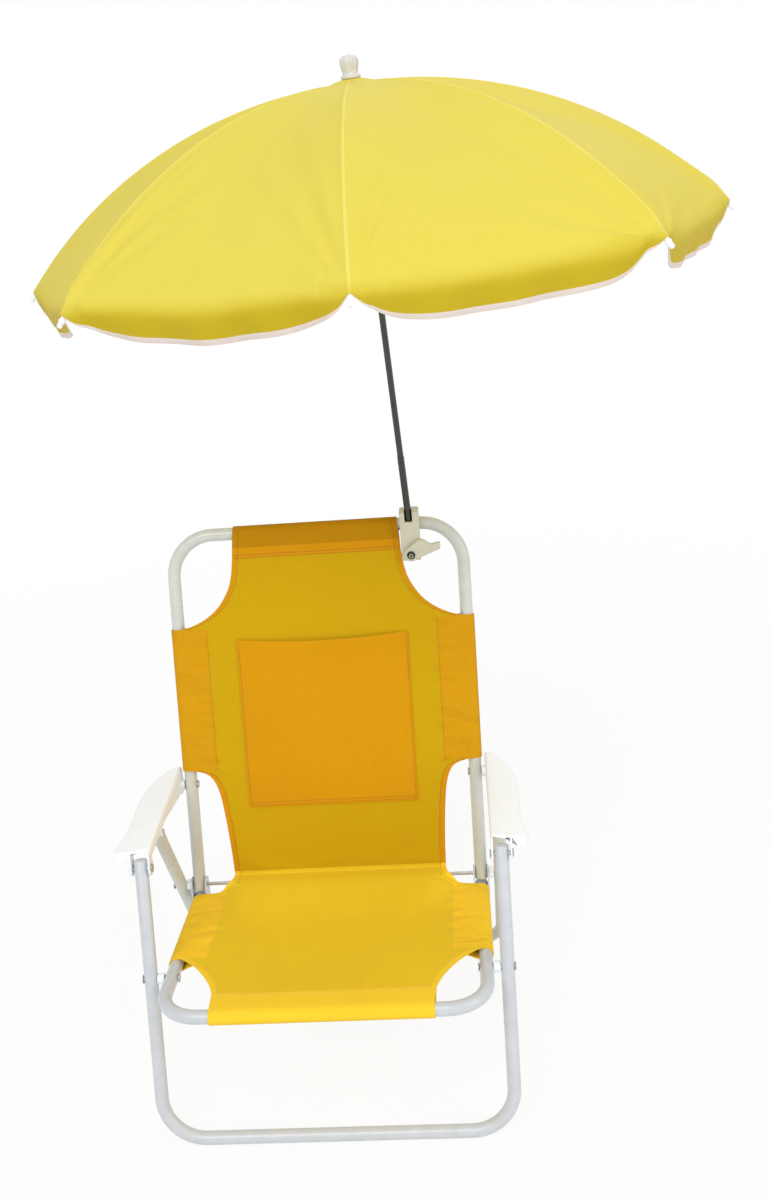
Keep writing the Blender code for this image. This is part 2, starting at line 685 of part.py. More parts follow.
def make_seat_sling(body, cloth):
    """The seat's cloth, sewn round the front bar and the side rails."""
    hinge = HINGE_IN_SEAT.y
    sleeve_front = SEAT_SLEEVE_FRONT - SEAT_FRONT
    sleeve_rear = hinge - EAR_RADIUS - GAP
    right = [(FRONT_HEM_HALF, -SEAT_FRONT)]
    right += hollow_corner((FRONT_HEM_HALF, FRONT_HEM - SEAT_FRONT), (FLAT_HALF, sleeve_front))
    right += [(FLAT_HALF, sleeve_rear), (SEAT_REAR_HALF, sleeve_rear)]
    right.append((SEAT_REAR_HALF, hinge - CREASE_FRONT))
    outline = [(across, along, SLEEVE_RADIUS) for across, along in mirrored(right)]
    sling = add_object("seat_sling", prism(outline, UP * -CLOTH), body, cloth)
    runs = [
        (
            "front_sleeve", FRONT_HEM, -FRONT_HEM_HALF, FRONT_HEM_HALF,
            lambda across, along, front: (along, -SEAT_FRONT - across, front),
        )
    ]
    for side, sign in SIDES:
        runs.append((
            side + "_seat_sleeve", STITCH, sleeve_front, sleeve_rear,
            lambda across, along, front, sign=sign: ((RAIL_X + across) * sign, along, front),
        ))
    make_sleeves(sling, body, runs)


def make_sling_crease(body, cloth):
    """The cloth between seat and back: up over the hinge axle, a crease behind it, and up the back."""
    hinge, rise = HINGE_IN_SEAT.yz
    over = rise + AXLE_RADIUS + GAP
    to_seat = SEAT_TURN.inverted() @ Matrix.Translation(HINGE - SEAT_PIVOT) @ LEAN_TURN
    front = to_seat @ Vector((0, -SLEEVE_RADIUS, CREASE_TOP - GAP))
    rear = to_seat @ Vector((0, CLOTH - SLEEVE_RADIUS, CREASE_TOP - GAP))
    start = hinge - CREASE_FRONT + GAP
    crease = hinge + CREASE_BACK
    profile = (
        (start, SLEEVE_RADIUS),
        (hinge - AXLE_RADIUS, over + CLOTH),
        (crease, over + CLOTH),
        front.yz,
        rear.yz,
        (crease + CLOTH, over),
        (hinge - AXLE_RADIUS, over),
        (start, SLEEVE_RADIUS - CLOTH),
    )
    half = SEAT_REAR_HALF - GAP
    outline = [(-half, along, up) for along, up in profile]
    add_object("sling_crease", prism(outline, ACROSS * 2 * half), body, cloth)


def bevelled(thing, width):
    """Rounds a moulded piece's edges."""
    modifier = thing.modifiers.new("edges", "BEVEL")
    modifier.width = width
    modifier.segments = 2
    modifier.limit_method = "ANGLE"
    return thing


def make_clamp(body, jaw_body, plastic, steel):
    """The clamp round the top rail. Its front jaw holds the pole's socket and the bolt."""
    half = JAW_WIDTH / 2
    shape = block((-half, -JAW_FRONT, -JAW_BOTTOM), (half, -REAR_JAW_START, JAW_TOP))
    front = bevelled(add_object("clamp_front_jaw", shape, body, plastic), JAW_BEVEL)
    half = REAR_JAW_WIDTH / 2
    shape = block((-half, REAR_JAW_START, -REAR_JAW_BOTTOM), (half, REAR_JAW_DEPTH, REAR_JAW_TOP))
    rear = bevelled(add_object("clamp_rear_jaw", shape, jaw_body, plastic), JAW_BEVEL)
    reach = ACROSS * (JAW_WIDTH / 2 + CUT_OVERRUN)
    rail = add_object("clamp_rail_bore", rod(TUBE_RADIUS + GAP, -reach, reach, 2 * TUBE_SIDES), body)
    for jaw in (front, rear):
        combine(jaw, rail)
    low = REAR_JAW_DEPTH + GAP
    high = low + NUT_HEIGHT
    nut = rod(NUT_RADIUS, (0, low, -BOLT_DROP), (0, high, -BOLT_DROP), NUT_SIDES)
    nut = add_object("clamp_nut", nut, jaw_body, steel)
    start = (0, -JAW_FRONT - CUT_OVERRUN, -BOLT_DROP)
    end = (0, high + CUT_OVERRUN, -BOLT_DROP)
    screw = add_object("clamp_bolt_bore", rod(BOLT_RADIUS + GAP, start, end), body)
    for threaded in (front, rear, nut):
        combine(threaded, screw)

    lean = Matrix.Rotation(POLE_LEAN, 3, "Y") @ UP
    middle = Vector((0, -SOCKET_FORWARD, 0))
    foot = middle - lean * (POLE_FOOT + GAP)
    mouth = middle + lean * (JAW_TOP + CUT_OVERRUN)
    combine(front, add_object("clamp_pole_bore", rod(SOCKET_RADIUS, foot, mouth), body))
    slope = lean.x / lean.z
    corner = (slope * JAW_TOP - SOCKET_RADIUS, -JAW_FRONT - CUT_OVERRUN, SOCKET_MOUTH)
    opposite = (slope * SOCKET_MOUTH + SOCKET_RADIUS, -SOCKET_FORWARD, JAW_TOP + CUT_OVERRUN)
    combine(front, add_object("clamp_channel", block(corner, opposite), body))

    head = -JAW_FRONT - LEVER_THICK - 2 * GAP
    tail = high + BOLT_TAIL
    profile = (
        (0, head - BOLT_HEAD_HEIGHT),
        (BOLT_HEAD_RADIUS * BOLT_HEAD_SHARE, head - BOLT_HEAD_HEIGHT),
        (BOLT_HEAD_RADIUS, head - BOLT_HEAD_HEIGHT / 2),
        (BOLT_HEAD_RADIUS, head),
        (BOLT_RADIUS, head),
        (BOLT_RADIUS, tail),
        (0, tail),
    )
    shape = turned(profile, (0, 0, -BOLT_DROP), (0, 1, 0), PIN_SIDES)
    add_object("clamp_bolt", shape, body, steel)


def make_lever(body, plastic):
    """The clamp's lever, in a frame on the bolt's axis: a round boss with a tapered arm."""
    near = -JAW_FRONT - GAP
    profile = arc((0, 0), LEVER_BOSS, LEVER_OPENS, LEVER_CLOSES, LEVER_STEPS)
    profile += [(LEVER_REACH, LEVER_TIP_LOW), (LEVER_REACH, LEVER_TIP_HIGH)]
    outline = [(across, near, up) for across, up in profile]
    shape = prism(outline, Vector((0, -LEVER_THICK, 0)))
    lever = bevelled(add_object("clamp_lever", shape, body, plastic), LEVER_BEVEL)
    start = (0, near + CUT_OVERRUN, 0)
    end = (0, near - LEVER_THICK - CUT_OVERRUN, 0)
    combine(lever, add_object("lever_bore", rod(BOLT_RADIUS + GAP, start, end), body))


def make_lower_pole(body, steel, plastic):
    """The pole's lower section, with the button that locks the upper one."""
    inner = LOWER_POLE_RADIUS - LOWER_POLE_WALL
    section = ring(inner, LOWER_POLE_RADIUS, -POLE_FOOT, POLE_JOINT)
    shape = turned(section, (0, 0, 0), UP, POLE_SIDES, closed=True)
    pole = add_object("lower_pole", shape, body, steel)
    height = POLE_JOINT - BUTTON_DROP
    end = (0, -LOWER_POLE_RADIUS - CUT_OVERRUN, height)
    hole = add_object("button_bore", rod(BUTTON_RADIUS + GAP, (0, 0, height), end), body)
    combine(pole, hole)
    start = (0, -SPIGOT_RADIUS - GAP, height)
    end = (0, -LOWER_POLE_RADIUS - BUTTON_PROUD, height)
    add_object("pole_button", rod(BUTTON_RADIUS, start, end), body, plastic)


def make_upper_pole(body, steel):
    """The pole's upper section. Its spigot turns in the lower one."""
    start = POLE_JOINT + GAP
    foot = start - SPIGOT_LENGTH
    floor = start + UPPER_POLE_WALL
    neck = SPIGOT_RADIUS - UPPER_POLE_WALL
    hollow = UPPER_POLE_RADIUS - UPPER_POLE_WALL
    section = (
        (SPIGOT_RADIUS, foot),
        (SPIGOT_RADIUS, start),
        (UPPER_POLE_RADIUS, start),
        (UPPER_POLE_RADIUS, POLE_TOP),
        (hollow, POLE_TOP),
        (hollow, floor),
        (neck, floor),
        (neck, foot),
    )
    shape = turned(section, (0, 0, 0), UP, POLE_SIDES, closed=True)
    add_object("upper_pole", shape, body, steel)


def rib_azimuth(index):
    """The first rib points straight forward, and the rest follow round the pole."""
    return -math.pi / 2 + math.tau * index / RIB_COUNT


def slotted(name, section, height, body, finish):
    """A turned piece on the pole, with an open radial slot for each rib or stretcher."""
    shape = turned(section, (0, 0, 0), UP, 2 * RIB_COUNT, closed=True)
    piece = add_object(name, shape, body, finish)
    half = NOTCH_SLOT / 2
    reach = NOTCH_HEIGHT / 2 + CUT_OVERRUN
    for index in range(RIB_COUNT):
        corner = (NOTCH_SLOT_FLOOR, -half, height - reach)
        slot = block(corner, (NOTCH_RADIUS + CUT_OVERRUN, half, height + reach))
        slot.transform(Matrix.Rotation(rib_azimuth(index), 4, "Z"))
        combine(piece, add_object(name + "_slot", slot, body))


def make_notch(body, plastic):
    """The slotted disc below the canopy's top, where the ribs turn."""
    inner = UPPER_POLE_RADIUS + GAP
    half = NOTCH_HEIGHT / 2
    section = ring(inner, NOTCH_RADIUS, HUB_HEIGHT - half, HUB_HEIGHT + half)
    slotted("notch", section, HUB_HEIGHT, body, plastic)


def make_runner(body, plastic, height):
    """The slotted runner that carries the stretchers, with its sleeve on the pole."""
    inner = UPPER_POLE_RADIUS + GAP
    low, high = height - NOTCH_HEIGHT / 2, height + NOTCH_HEIGHT / 2
    foot = low - RUNNER_SLEEVE
    section = (
        (NOTCH_RADIUS, low),
        (NOTCH_RADIUS, high),
        (inner, high),
        (inner, foot),
        (RUNNER_RADIUS, foot),
        (RUNNER_RADIUS, low),
    )
    slotted("runner", section, height, body, plastic)


def make_finial(body, plastic):
    """The knob on top, with a hole for the pole's end."""
    base = EYE_HEIGHT + CANOPY_CLOTH + GAP
    flange = base + FINIAL_FLANGE_HEIGHT
    hole = UPPER_POLE_RADIUS + GAP
    roof = POLE_TOP + GAP
    profile = [(0, roof), (hole, roof), (hole, base), (FINIAL_FLANGE, base), (FINIAL_FLANGE, flange)]
    profile.append((FINIAL_NECK, flange))
    dome = base + FINIAL_HEIGHT - FINIAL_RADIUS
    profile += arc((0, dome), FINIAL_RADIUS, 0, math.pi / 2, FINIAL_STEPS)
    profile[-1] = (0, dome + FINIAL_RADIUS)
    add_object("finial", turned(profile, (0, 0, 0), UP, FINIAL_SIDES), body, plastic)


def rib_point(share, lift=0):
    """A point of the rib's arc, from the hub at share 0 to the tip at 1, lifted off its outer side."""
    start = CHORD_FALL - HALF_ARC
    turn = start + 2 * HALF_ARC * share
    reach = RIB_ARC + lift
    outward = reach * math.sin(turn) - RIB_ARC * math.sin(start)
    upward = reach * math.cos(turn) - RIB_ARC * math.cos(start)
    return HUB + Vector((outward, 0, upward))


def stretcher_joint():
    """Where the stretcher meets the rib, just below it."""
    return rib_point(STRETCHER_STEP / RIB_STEPS, -RIB_RADIUS - STRETCHER_RADIUS - GAP)


def stretcher_foot():
    """Where the stretcher meets the runner: below the hub, as far from the joint as the hub is."""
    return Vector((HUB.x, 0, 2 * stretcher_joint().z - HUB.z))


def runner_travel():
    """How far the runner comes down as the umbrella closes."""
    joint = stretcher_joint() - HUB
    opened = math.atan2(joint.x, -joint.z)
    return 2 * joint.length * (math.cos(opened - CLOSE_ANGLE) - math.cos(opened))


def make_rib(number, body, steel):
    """One bowed rib, with its tip and the tab that holds its stretcher, in a frame at its hinge."""
    points = [rib_point(step / RIB_STEPS) - HUB for step in range(RIB_STEPS + 1)]
    tangent = (points[-1] - points[-2]).normalized()
    cap = points[-1] + tangent * TIP_CLEAR
    sections = [(Vector((-RIB_INNER_END, 0, 0)), RIB_RADIUS)]
    sections += [(point, RIB_RADIUS) for point in points[:-1]]
    sections += [(cap, RIB_RADIUS), (cap, TIP_RADIUS), (cap + tangent * TIP_LENGTH, TIP_RADIUS)]
    shape = bmesh.new()
    rings = []
    for step, (point, radius) in enumerate(sections):
        before = sections[max(step - 1, 0)][0]
        after = sections[min(step + 1, len(sections) - 1)][0]
        run = (after - before).normalized()
        normal = Vector((-run.z, 0, run.x))
        verts = []
        for corner in range(RIB_SIDES):
            angle = math.tau * (corner + 0.5) / RIB_SIDES
            offset = Vector((0, math.cos(angle), 0)) + normal * math.sin(angle)
            verts.append(shape.verts.new(point + offset * radius))
        rings.append(verts)
    for verts, after in zip(rings, rings[1:]):
        for corner in range(RIB_SIDES):
            other = (corner + 1) % RIB_SIDES
            shape.faces.new((verts[corner], verts[other], after[other], after[corner]))
    shape.faces.new(rings[0])
    shape.faces.new(rings[-1])
    rib = add_object("rib_" + number, shape, body, steel)

    # The tab is an L: over the stretcher's end, and down beside it.
    joint = stretcher_joint() - HUB
    near = STRETCHER_RADIUS + GAP
    half = TAB_LENGTH / 2
    top = joint.z + RIB_RADIUS + near
    low = (joint.x - half, near, joint.z - STRETCHER_RADIUS)
    beside = add_object("rib_tab_" + number, block(low, (joint.x + half, near + TAB_THICK, top)), body)
    low = (joint.x - half, -TAB_THICK / 2, top - TAB_THICK)
    over = add_object("rib_web_" + number, block(low, (joint.x + half, near + TAB_THICK / 2, top)), body)
    combine(rib, over, "UNION")
    combine(rib, beside, "UNION")


def make_stretcher(number, body, steel):
    """One straight stretcher, in a frame at its joint on the rib."""
    foot = stretcher_foot() - stretcher_joint()
    along = foot.normalized() * STRETCHER_END
    shape = rod(STRETCHER_RADIUS, -along, foot + along, RIB_SIDES)
    add_object("stretcher_" + number, shape, body, steel)


def canopy_profile(lift):
    """The canopy along a seam: flat round the pole's top, and then on the rib's arc."""
    eye = EYE_HEIGHT + lift
    points = [Vector((CANOPY_HOLE, 0, eye)), Vector((CANOPY_EYE, 0, eye))]
    for step in range(1, RIB_STEPS + 1):
        points.append(rib_point(step / RIB_STEPS, RIB_RADIUS + CANOPY_LIFT + lift))
    return points


def canopy_row(row, lift):
    """One ring of the canopy. Between two ribs the cloth runs straight across and hangs a little."""
    seam = canopy_profile(lift)[row]
    share = max(row - 1, 0) / RIB_STEPS
    half = math.pi / RIB_COUNT
    points = []
    for step in range(RIB_COUNT * PANEL_STEPS):
        panel, part = divmod(step, PANEL_STEPS)
        across = part / PANEL_STEPS
        angle = half * (2 * across - 1)
        straight = math.cos(half) / math.cos(angle) if share else 1
        dip = CANOPY_DIP * math.sin(math.pi * across) * math.sin(math.pi * share) ** 2
        turn = Matrix.Rotation(rib_azimuth(panel) + half + angle, 3, "Z")
        points.append(turn @ Vector((seam.x * straight, 0, seam.z - dip)))
    return points


def valance_row(lift):
    """The lower edge of the cloth that hangs from the rim between the rib tips."""
    points = []
    for step, rim in enumerate(canopy_row(RIB_STEPS + 1, lift)):
        across = (step % PANEL_STEPS) / PANEL_STEPS
        hang = 1 - abs(2 * across - 1) ** VALANCE_POWER
        inward = VALANCE_IN * hang + CANOPY_CLOTH - lift
        outward = Vector((rim.x, rim.y, 0)).normalized()
        points.append(rim - outward * inward - UP * (VALANCE_DROP * hang + GAP))
    return points


def make_canopy(body, cloth):
    """Eight cloth panels with a valance that hangs between the rib tips, one thin closed shell."""
    shape = bmesh.new()
    steps = RIB_COUNT * PANEL_STEPS
    sheets = []
    for lift in (CANOPY_CLOTH, 0):
        rows = [canopy_row(row, lift) for row in range(RIB_STEPS + 2)]
        rows.append(valance_row(lift))
        sheets.append([[shape.verts.new(point) for point in row] for row in rows])
    top, under = sheets
    pairs = [*zip(top, top[1:]), *zip(under, under[1:]), (top[0], under[0]), (top[-1], under[-1])]
    for row, after in pairs:
        for step in range(steps):
            other = (step + 1) % steps
            shape.faces.new((row[step], row[other], after[other], after[step]))
    add_object("canopy", shape, body, cloth)


def main():
    """Builds every body and its pieces, and prints where each joint is."""
    clear_scene()
    paint = material("frame_paint", (0.60, 0.62, 0.60), 0.35)
    plastic = material("white_plastic", (0.78, 0.77, 0.72), 0.45)
    sling = material("sling_fabric", (0.70, 0.40, 0.02), 0.85)
    pocket = material("pocket_fabric", (0.75, 0.36, 0.015), 0.85)
    cloth = material("canopy_fabric", (0.80, 0.72, 0.10), 0.8)
    steel = material("rivet_steel", (0.45, 0.45, 0.43), 0.35, 1.0)
    dark_steel = material("pole_steel", (0.22, 0.22, 0.21), 0.3, 1.0)

    seat = body_empty("seat", SEAT_PIVOT, SEAT_TURN)
    back = body_empty("back", HINGE, LEAN_TURN, seat)
    front_leg = body_empty("front_leg", SEAT_PIVOT, LEAN_TURN, seat)
    rear_leg = body_empty("rear_leg", HINGE, REAR_LEG_TURN, seat)
    make_seat_frame(seat, paint, plastic, steel)
    make_seat_sling(seat, sling)
    make_sling_crease(seat, sling)
    make_back_frame(back, paint, steel)
    make_back_sling(back, sling, pocket)
    make_front_leg(front_leg, paint, steel)
    make_rear_leg(rear_leg, paint, steel)
    for side, sign in SIDES:
        make_armrest(side, sign, body_empty(side + "_armrest", ARM_PIVOT, ARM_TURN, back), plastic)

    on_rail = TOP_RAIL + ACROSS * CLAMP_X
    on_bolt = on_rail + CLAMP_TURN @ Vector((0, 0, -BOLT_DROP))
    on_pole = on_rail + CLAMP_TURN @ Vector((0, -SOCKET_FORWARD, 0))
    clamp = body_empty("clamp", on_rail, CLAMP_TURN, back)
    make_clamp(clamp, body_empty("clamp_jaw", on_rail, CLAMP_TURN, clamp), plastic, dark_steel)
    make_lever(body_empty("clamp_lever", on_bolt, CLAMP_TURN, clamp), plastic)
    pole = body_empty("pole", on_pole, POLE_TURN, clamp)
    make_lower_pole(pole, dark_steel, plastic)
    umbrella = body_empty("umbrella", on_pole, POLE_TURN, pole)
    make_upper_pole(umbrella, dark_steel)
    make_notch(umbrella, plastic)
    make_finial(umbrella, plastic)
    make_canopy(umbrella, cloth)
    make_runner(body_empty("runner", on_pole, POLE_TURN, umbrella), plastic, stretcher_foot().z)
    for index in range(RIB_COUNT):
        number = str(index + 1)
        turn = POLE_TURN @ Matrix.Rotation(rib_azimuth(index), 4, "Z")
        rib = body_empty("rib_" + number, on_pole + turn @ HUB, turn, umbrella)
        make_rib(number, rib, dark_steel)
        place = on_pole + turn @ stretcher_joint()
        make_stretcher(number, body_empty("stretcher_" + number, place, turn, rib), dark_steel)

    for name, world in BODY_PLACES.items():
        place = [round(value, 5) for value in world.translation]
        axes = [[round(value, 5) for value in world.col[axis][:3]] for axis in range(3)]
        print("body", name, place, "x", axes[0], "y", axes[1], "z", axes[2])
    print("runner travel", round(runner_travel(), 5), "slide pin", SLIDE_PIN, "top rail", TOP_RAIL)


main()
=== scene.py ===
"""Dresses the umbrella chair: sewn cloth, painted tube, moulded plastic, light and camera.

A children's folding chair of bent white tube with a yellow sling, and a small yellow umbrella
clamped to its top rail. Every length is in metres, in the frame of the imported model.
"""

from __future__ import annotations

import json
import logging
import math
from dataclasses import dataclass
from enum import Enum

import bmesh
import bpy
from mathutils import Matrix, Vector, noise
from mathutils.bvhtree import BVHTree


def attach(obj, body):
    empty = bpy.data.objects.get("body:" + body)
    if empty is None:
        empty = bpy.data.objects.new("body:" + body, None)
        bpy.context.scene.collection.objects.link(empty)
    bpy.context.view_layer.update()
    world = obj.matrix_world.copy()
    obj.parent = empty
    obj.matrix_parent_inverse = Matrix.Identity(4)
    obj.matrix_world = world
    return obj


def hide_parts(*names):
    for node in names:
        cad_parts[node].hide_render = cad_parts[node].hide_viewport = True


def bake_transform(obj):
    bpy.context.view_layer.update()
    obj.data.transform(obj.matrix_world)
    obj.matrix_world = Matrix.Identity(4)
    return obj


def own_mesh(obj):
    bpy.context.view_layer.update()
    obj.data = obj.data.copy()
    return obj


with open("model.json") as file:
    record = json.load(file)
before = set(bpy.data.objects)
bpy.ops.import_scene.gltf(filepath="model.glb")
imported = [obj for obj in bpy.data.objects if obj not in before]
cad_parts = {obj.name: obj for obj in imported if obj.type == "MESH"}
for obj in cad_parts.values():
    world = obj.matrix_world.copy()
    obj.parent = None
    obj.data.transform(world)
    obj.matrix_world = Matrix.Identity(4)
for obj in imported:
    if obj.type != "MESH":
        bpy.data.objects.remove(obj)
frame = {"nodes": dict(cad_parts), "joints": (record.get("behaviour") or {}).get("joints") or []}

LOG = logging.getLogger("umbrella_chair")
JOINTS = {joint["name"]: joint for joint in frame["joints"]}
ACROSS = Vector((1, 0, 0))
REARWARD = Vector((0, 1, 0))
UP = Vector((0, 0, 1))
SIDES = (("left", -1), ("right", 1))
CUT = "cut"

# Sizes that the part's source gives, and that several pieces share
TUBE = 0.007
CLEAR = 0.0003
RAIL = 0.1615
LEG = 0.183
LEAN = math.radians(17.1)
RAIL_SLOPE = math.radians(7.4)
REAR_LEAN = math.radians(26.3)
CLAMP_LEAN = math.radians(2.68)
POLE_LEAN = math.radians(-3.19)
BACK_LENGTH = 0.400
SEAT_FRONT = 0.0675
HINGE_ALONG = 0.16115
AXLE_TOP = 0.01852

# How finely tubes are made, their end caps' shares of the radius with each one's rise, and how close
# two points are one point
TUBE_SIDES = 28
BEND_STEPS = 16
TUBE_CAP = ((0.93, 0.0006), (0.78, 0.0011), (0.0, 0.0014))
MERGE = 0.00001

# From how many degrees on an edge is shaded crisp, on moulded and metal pieces and on tubes
CRISP_TURN = 35
TUBE_CRISP_TURN = 50

# How far above the cloth its surface is looked for from
ABOVE_BACK = 0.05
ABOVE_SEAT = 0.06


def joint_point(name: str) -> Vector:
    """The place of a joint's axis in the world."""
    return Vector(JOINTS[name]["pos_m"])


def leaning(origin: Vector, lean: float) -> Matrix:
    """A body's frame, at its origin and leaning back about the width axis."""
    return Matrix.Translation(origin) @ Matrix.Rotation(-lean, 4, "X")


SEAT = leaning(joint_point("front_leg_fold"), RAIL_SLOPE)
BACK = leaning(joint_point("back_fold"), LEAN)
FRONT_LEG = leaning(joint_point("front_leg_fold"), LEAN)
REAR_LEG = leaning(joint_point("back_fold"), -REAR_LEAN)
CLAMP_BOLT = leaning(joint_point("clamp_lever_turn"), CLAMP_LEAN)
UMBRELLA = leaning(joint_point("umbrella_swivel"), CLAMP_LEAN) @ Matrix.Rotation(POLE_LEAN, 4, "Y")


def srgb(red: float, green: float, blue: float) -> tuple[float, float, float, float]:
    """Turns a colour of 0 to 255 into Blender's linear one.

    Args:
        red: The red share, as a picture stores it.
        green: The green share.
        blue: The blue share.

    Returns:
        The linear colour with full alpha.
    """
    shares = (red / 255, green / 255, blue / 255)
    linear = [c / 12.92 if c <= 0.04045 else ((c + 0.055) / 1.055) ** 2.4 for c in shares]
    return (*linear, 1.0)


def smooth(value: float) -> float:
    """A soft step from 0 to 1."""
    value = min(max(value, 0.0), 1.0)
    return value * value * (3 - 2 * value)


def between(table: tuple[tuple[float, float], ...], key: float) -> float:
    """Reads a table of pairs with straight lines between them.

    Args:
        table: Pairs with rising first numbers.
        key: Where to read it.

    Returns:
        The second number there, held at the table's ends.
    """
    if key <= table[0][0]:
        return table[0][1]
    for (low, first), (high, second) in zip(table, table[1:]):
        if key <= high:
            return first + (second - first) * (key - low) / (high - low)
    return table[-1][1]


def uneven(across: float, along: float, layer: float) -> float:
    """Smooth noise at a place, from about -1 to 1, different in each layer."""
    return noise.noise(Vector((across, along, layer)))


def hump(place: float, start: float, length: float) -> float:
    """A hump over a stretch of cloth, 1 in its middle and 0 from its ends on."""
    return math.sin(math.pi * min(max((place - start) / length, 0.0), 1.0))


def steps(start: float, end: float, count: int) -> list[float]:
    """Evenly spaced numbers from start to end, both included."""
    return [start + (end - start) * index / count for index in range(count + 1)]


class Graph:
    """A node tree that is filled step by step."""

    def __init__(self, tree: bpy.types.NodeTree) -> None:
        """Keeps the tree."""
        self.tree = tree

    def add(self, kind: str, **settings: object) -> bpy.types.Node:
        """Adds a shader node and sets its properties.

        Args:
            kind: The node's type without its common beginning.
            **settings: Properties of the node by name.

        Returns:
            The new node.
        """
        node = self.tree.nodes.new("ShaderNode" + kind)
        for name, value in settings.items():
            setattr(node, name, value)
        return node

    def feed(self, socket: bpy.types.NodeSocket, value: object) -> None:
        """Links a socket to an output, or sets its number or colour."""
        if isinstance(value, bpy.types.NodeSocket):
            self.tree.links.new(value, socket)
        else:
            socket.default_value = value

    def settle(self, node: bpy.types.Node, **values: object) -> None:
        """Sets constants on a node's own sockets, by their names with underscores for spaces."""
        for name, value in values.items():
            node.inputs[name.replace("_", " ")].default_value = value

    def math(self, operation: str, *values: object, clamp: bool = False) -> bpy.types.NodeSocket:
        """Adds a Math node.

        Args:
            operation: The node's operation.
            *values: Its numbers or links, in the order of its sockets.
            clamp: Whether the result stays from 0 to 1.

        Returns:
            The result's socket.
        """
        node = self.add("Math", operation=operation, use_clamp=clamp)
        for socket, value in zip(node.inputs, values):
            self.feed(socket, value)
        return node.outputs[0]

    def mix(self, share: object, first: object, second: object, blend: str = "MIX") -> bpy.types.NodeSocket:
        """Adds a colour mix.

        Args:
            share: How much of the second colour shows.
            first: The first colour or link.
            second: The second colour or link.
            blend: The blend type.

        Returns:
            The mixed colour's socket.
        """
        node = self.add("Mix", data_type="RGBA", blend_type=blend)
        self.feed(node.inputs[0], share)
        self.feed(node.inputs[6], first)
        self.feed(node.inputs[7], second)
        return node.outputs[2]

    def noise(self, vector: bpy.types.NodeSocket, scale: object, detail: float = 3.0) -> bpy.types.NodeSocket:
        """Adds a noise texture and returns its value."""
        node = self.add("TexNoise")
        self.feed(node.inputs["Vector"], vector)
        self.feed(node.inputs["Scale"], scale)
        node.inputs["Detail"].default_value = detail
        return node.outputs[0]

    def stretch(self, vector: bpy.types.NodeSocket, scale: tuple[float, float, float]) -> bpy.types.NodeSocket:
        """Scales coordinates unevenly through a Mapping node."""
        node = self.add("Mapping")
        self.feed(node.inputs["Vector"], vector)
        node.inputs["Scale"].default_value = scale
        return node.outputs[0]

    def part(self, vector: bpy.types.NodeSocket, axis: int) -> bpy.types.NodeSocket:
        """One of a vector's three numbers."""
        node = self.add("SeparateXYZ")
        self.feed(node.inputs[0], vector)
        return node.outputs[axis]

    def bump(
        self, height: bpy.types.NodeSocket, strength: float, distance: float, below: object = None
    ) -> bpy.types.NodeSocket:
        """Adds a Bump node.

        Args:
            height: The relief.
            strength: How strongly it shows.
            distance: How deep it is.
            below: The normal of a broader relief under it, if there is one.

        Returns:
            The bent normal.
        """
        node = self.add("Bump")
        self.settle(node, Strength=strength, Distance=distance)
        self.feed(node.inputs["Height"], height)
        if below is not None:
            self.feed(node.inputs["Normal"], below)
        return node.outputs[0]


def effect(name: str, numbers: tuple[str, ...], results: tuple[str, ...]) -> tuple[Graph, dict, dict]:
    """Starts a shader node group with a Vector input.

    Args:
        name: The group's name.
        numbers: The names of its further inputs.
        results: The names of its outputs.

    Returns:
        The group's graph, its inputs by name and its outputs by name.
    """
    tree = bpy.data.node_groups.new(name, "ShaderNodeTree")
    tree.interface.new_socket(name="Vector", in_out="INPUT", socket_type="NodeSocketVector")
    for number in numbers:
        tree.interface.new_socket(name=number, in_out="INPUT", socket_type="NodeSocketFloat")
    for result in results:
        tree.interface.new_socket(name=result, in_out="OUTPUT", socket_type="NodeSocketFloat")
    entry = tree.nodes.new("NodeGroupInput")
    leave = tree.nodes.new("NodeGroupOutput")
    inputs = {socket.name: socket for socket in entry.outputs if socket.name}
    outputs = {socket.name: socket for socket in leave.inputs if socket.name}
    return Graph(tree), inputs, outputs


class Effect(Enum):
    """The shared effects, each one a shader node group that is built once."""

    WEAVE = "plain_weave"
    GRAIN = "fine_and_broad_grain"
    SCUFFS = "scuffs"
    RUMPLE = "cloth_rumple"

    def tree(self) -> bpy.types.NodeTree:
        """The effect's node group."""
        found = bpy.data.node_groups.get(self.value)
        return found or EFFECT_BUILDERS[self]().tree

    def place(self, graph: Graph, vector: bpy.types.NodeSocket, **numbers: float) -> dict[str, bpy.types.NodeSocket]:
        """Puts the effect in a material.

        Args:
            graph: The material's graph.
            vector: The coordinates that it reads.
            **numbers: Its other inputs.

        Returns:
            Its outputs by name.
        """
        node = graph.add("Group", node_tree=self.tree())
        graph.feed(node.inputs["Vector"], vector)
        graph.settle(node, **numbers)
        return {socket.name: socket for socket in node.outputs}


